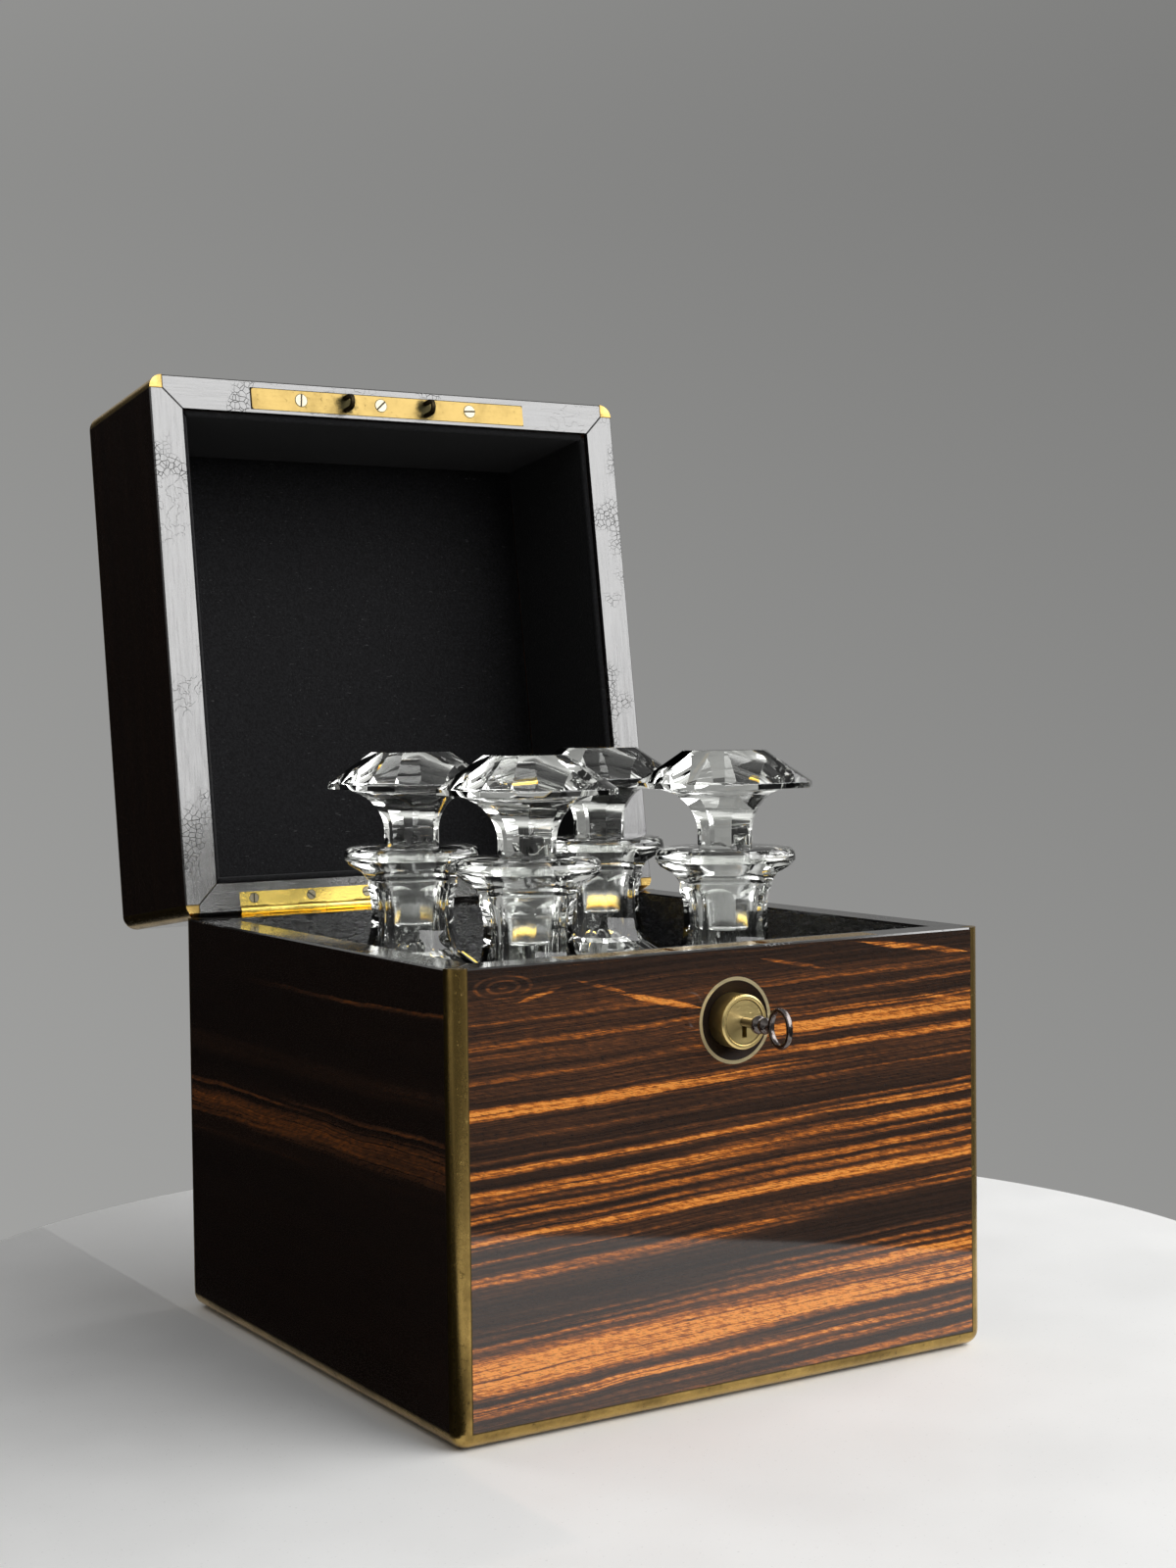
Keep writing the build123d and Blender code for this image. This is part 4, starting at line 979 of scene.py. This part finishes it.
def pad_block(name, low, high, step):
    """Closed block with an even grid of faces about a step across."""
    shape = bmesh.new()
    low, high = Vector(low), Vector(high)
    counts = [max(1, round((high[n] - low[n]) / step)) for n in range(3)]
    for axis in range(3):
        u, v = (axis + 1) % 3, (axis + 2) % 3
        for face in (low, high):
            grid = []
            for i in range(counts[u] + 1):
                grid.append([])
                for j in range(counts[v] + 1):
                    point = face.copy()
                    point[u] = low[u] + (high[u] - low[u]) * i / counts[u]
                    point[v] = low[v] + (high[v] - low[v]) * j / counts[v]
                    grid[i].append(shape.verts.new(point))
            for i in range(counts[u]):
                for j in range(counts[v]):
                    shape.faces.new([grid[i][j], grid[i + 1][j], grid[i + 1][j + 1], grid[i][j + 1]])
    bmesh.ops.remove_doubles(shape, verts=shape.verts, dist=1e-6)
    bmesh.ops.recalc_face_normals(shape, faces=shape.faces)
    return object_from(shape, name)


pad_top = 0.137
pad_slack = 0.0012
pad_gap = 0.0004
pad_inset = 0.0008
for side in ("front", "back", "left", "right"):
    low, high = (corner.copy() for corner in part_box(f"{side}_lining"))
    long_way = 0 if side in ("front", "back") else 1
    high.z = pad_top - 0.0006
    low[long_way] += pad_inset
    high[long_way] -= pad_inset
    if long_way == 1:
        low.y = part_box("front_lining")[1].y + pad_gap
        high.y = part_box("back_lining")[0].y - pad_gap
    if side in ("back", "right"):
        low[1 - long_way] += pad_slack
    else:
        high[1 - long_way] -= pad_slack
    pad = pad_block(f"{side}_wall_pad", low, high, 0.004)
    changed(pad, "SMOOTH", factor=0.5, iterations=3)
    stuffed(pad, 4.0, 0.0016)
    covered(pad, black_cloth)
    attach(pad, "case")
    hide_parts(f"{side}_lining")

low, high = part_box("floor_pad")
inset = Vector((0.0006, 0.0006, 0))
shape = pad_block("floor_cushion", low + inset, high - inset - Vector((0, 0, 0.0005)), 0.004)
stuffed(shape, 1.5, 0.0005)
covered(shape, black_cloth)
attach(shape, "case")
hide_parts("floor_pad")

# The strip of cloth above the pads goes round the four walls in one length.
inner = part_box("back_lining")[1]
cloth_gap, cloth_thick, cloth_ripple = 0.0001, 0.0012, 0.0003
strip_low, strip_high = pad_top - 0.004, inner.z
profile = [(0.0, strip_low, 0.0), (0.0, strip_high, 0.0), (cloth_thick, strip_high, 0.0)]
for n in range(1, 8):
    profile.append((cloth_thick, strip_high - (strip_high - strip_low) * n / 7, cloth_ripple))
corners = [Vector(corner) for corner in ((-1, -1), (1, -1), (1, 1), (-1, 1))]
shape = bmesh.new()
rows = []
steps = 60
for n in range(4 * steps):
    side, share = divmod(n, steps)
    a, b = corners[side], corners[(side + 1) % 4]
    spot = a + (b - a) * share / steps
    row = []
    for offset, z, ripple in profile:
        waved = ripple * noise.noise(Vector((spot.x * 9 + 4, spot.y * 9, z * 160)))
        reach = inner.x - cloth_gap - offset + waved
        row.append(shape.verts.new((spot.x * reach, spot.y * reach, z)))
    rows.append(row)
close_tube(shape, rows)
bmesh.ops.recalc_face_normals(shape, faces=shape.faces)
strip = softly_shaded(object_from(shape, "wall_cloth", black_cloth), 50)
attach(strip, "case")
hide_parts("front_lining", "back_lining", "left_lining", "right_lining")

# ---- Divider ----------------------------------------------------------------------------------
# A cross of two thin boards, halved together and covered in the same black cloth. It stands on
# the floor and keeps the four decanters apart, and its top is well below the rim.

low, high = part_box("divider")
half = 0.0015
for name, foot, head in (("long", (low.x, -half, low.z), (high.x, half, high.z)),
                         ("short", (-half, low.y, low.z), (half, high.y, high.z))):
    board = pad_block(f"{name}_divider", foot, head, 0.003)
    changed(board, "BEVEL", width=0.0011, segments=3, limit_method="ANGLE")
    for vertex in board.data.vertices:
        vertex.co += vertex.normal * noise.noise(vertex.co * 70) * 0.00018
    board.data.materials.append(black_cloth)
    board.data.shade_smooth()
    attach(board, "case")
    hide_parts("divider")

# ---- Lid lining -------------------------------------------------------------------------------
# The lid is lined in black felt: a thin padded panel against the top and four covered strips
# round the walls. The felt catches pale lint.

felt, start, end = group("felt", {"Place": (0, 0, 0), "Lint": 0.5})
place = start["Place"]
nap = cloud(place, 900, 4, 0.75)
lint = eased(cloud(place, 1250, 2, 0.6), 0.66, 0.76)
fibres = eased(cloud(drawn_out(place, (260, 1900, 900)), 1, 2, 0.6), 0.68, 0.76)
pale = larger(lint, fibres) * start["Lint"] * eased(cloud(place, 24, 3, 0.6), 0.35, 0.65, 0.35, 1.0)
colour = mixed(eased(nap, 0.35, 0.65), (0.002, 0.002, 0.0024, 1), (0.013, 0.013, 0.0145, 1))
colour = mixed(pale, colour, (0.12, 0.12, 0.12, 1))
rough = eased(nap, 0.2, 0.8, 0.85, 1.0)
fill(felt, end, {"Color": colour, "Roughness": rough, "Height": pale * 0.5 + nap})

black_felt, tree, shader = material("black_felt")
surface(shader, put(tree, felt, {"Place": object_place(tree)}), 0.0003, Specular_IOR_Level=0.2,
        Sheen_Weight=0.12, Sheen_Roughness=0.5)

inner_x, inner_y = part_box("lid_pad")[1].x, 0.101
lid_pad_foot, lid_pad_head = 0.2310, 0.2337
panel_gap, strip_gap = 0.001, 0.0002
shape = pad_block("lid_panel", (-inner_x + panel_gap, -inner_y + panel_gap, lid_pad_foot + 0.0006),
                  (inner_x - panel_gap, inner_y - panel_gap, lid_pad_head), 0.004)
stuffed(shape, 1.5, 0.0008)
for vertex in shape.data.vertices:
    if vertex.co.z < lid_pad_foot + 0.0018:
        vertex.co.z += 0.00025 * noise.noise(Vector((vertex.co.x * 30, vertex.co.y * 30, 2.0)))
covered(shape, black_felt)
shape.data.transform(lid_open)
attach(shape, "lid")
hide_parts("lid_pad")

strip_foot, strip_head = 0.1629, lid_pad_foot + 0.0004
strip_thick = 0.003
for n, side in enumerate(("front", "right", "back", "left")):
    strip = pad_block(f"lid_{side}_strip", (-inner_x + strip_gap, -inner_y, strip_foot + strip_gap),
                      (inner_x - strip_gap, -inner_y + strip_thick, strip_head), 0.003)
    for vertex in strip.data.vertices:
        reach = inner_y + vertex.co.y
        mitre = inner_x - reach - strip_gap
        if abs(vertex.co.x) > mitre:
            vertex.co.x = math.copysign(mitre, vertex.co.x)
        if reach > 0.001 and vertex.co.z < strip_foot + 0.0005:
            vertex.co.z += 0.0004
    covered(strip, black_felt)
    strip.data.transform(lid_open @ Matrix.Rotation(math.pi / 2 * n, 4, "Z"))
    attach(strip, "lid")
    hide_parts("lid_linings")

# ---- Baize ------------------------------------------------------------------------------------
# A square of dark green baize under the base, glued on between the brass strips. It keeps the
# box from scratching the table.

low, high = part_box("base_baize")
green_baize, tree, shader = material("green_baize")
where = object_place(tree)
weave = cloud(where, 1300, 3, 0.7)
colour = mixed(weave, (0.012, 0.035, 0.02, 1), (0.03, 0.075, 0.045, 1))
faded = eased(cloud(where, 30, 3), 0.5, 0.8, 0, 0.5)
colour = mixed(faded, colour, (0.06, 0.07, 0.05, 1))
feed(shader, Base_Color=colour, Roughness=0.95, Specular_IOR_Level=0.2, Sheen_Weight=0.2)
feed(shader, Normal=bump(weave, 0.0003))
baize = pad_block("baize_sheet", low, high, 0.006)
for vertex in baize.data.vertices:
    pull = 0.0004 * (1 + noise.noise(vertex.co * 60))
    for n in (0, 1):
        if high[n] - abs(vertex.co[n]) < 0.001:
            vertex.co[n] -= math.copysign(pull, vertex.co[n])
baize.data.materials.append(green_baize)
softly_shaded(baize, 50)
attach(baize, "case")
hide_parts("base_baize")

# ---- Decanters and stoppers -------------------------------------------------------------------
# Blown lead glass, cut on the wheel: square bodies, hollow flats up the necks, broad bevelled
# heads. Every cut edge is a hair round and bright. Pegs and bores are ground to fit.

clear_glass, tree, shader = material("clear_glass")
waves = cloud(object_place(tree), 45, 2)
feed(shader, Base_Color=mixed(waves, (0.965, 0.98, 0.945, 1), (0.985, 1, 0.975, 1)), Roughness=0.0,
     Transmission_Weight=1.0, Normal=bump(waves, 0.00006), IOR=1.53)
ground_glass, tree, shader = material("ground_glass")
frost = cloud(object_place(tree), 700, 3, 0.6)
feed(shader, Base_Color=mixed(frost, (0.95, 0.96, 0.96, 1), (1, 1, 1, 1)), IOR=1.53,
     Roughness=eased(frost, 0.3, 0.7, 0.06, 0.14), Transmission_Weight=1.0,
     Normal=bump(frost, 0.00002))

lip_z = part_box("decanter_front_left")[1].z
peg_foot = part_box("stopper_front_left")[0].z
bore_reach = 0.0108
edge_round = 0.00022


def cut_glass(name):
    """The node's glass again, with its edges rounded and its ground faces frosted."""
    low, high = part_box(name)
    middle = (low + high) / 2
    shape = bmesh.new()
    shape.from_mesh(nodes[name].data)
    bmesh.ops.remove_doubles(shape, verts=shape.verts, dist=2e-6)
    bmesh.ops.dissolve_limit(shape, angle_limit=math.radians(0.6), verts=shape.verts, edges=shape.edges)
    for face in shape.faces:
        centre = face.calc_center_median()
        in_bore = (centre.xy - middle.xy).length < bore_reach and abs(face.normal.z) < 0.4
        face.material_index = int(in_bore and peg_foot + 0.001 < centre.z < lip_z - 0.0006)
    made = object_from(shape, f"{name}_glass", clear_glass, ground_glass)
    changed(made, "BEVEL", width=edge_round, segments=2, limit_method="ANGLE",
            angle_limit=math.radians(25))
    softly_shaded(made, 22)
    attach(made, name)
    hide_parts(name)


for place in ("front_left", "front_right", "rear_left", "rear_right"):
    cut_glass(f"decanter_{place}")
    cut_glass(f"stopper_{place}")
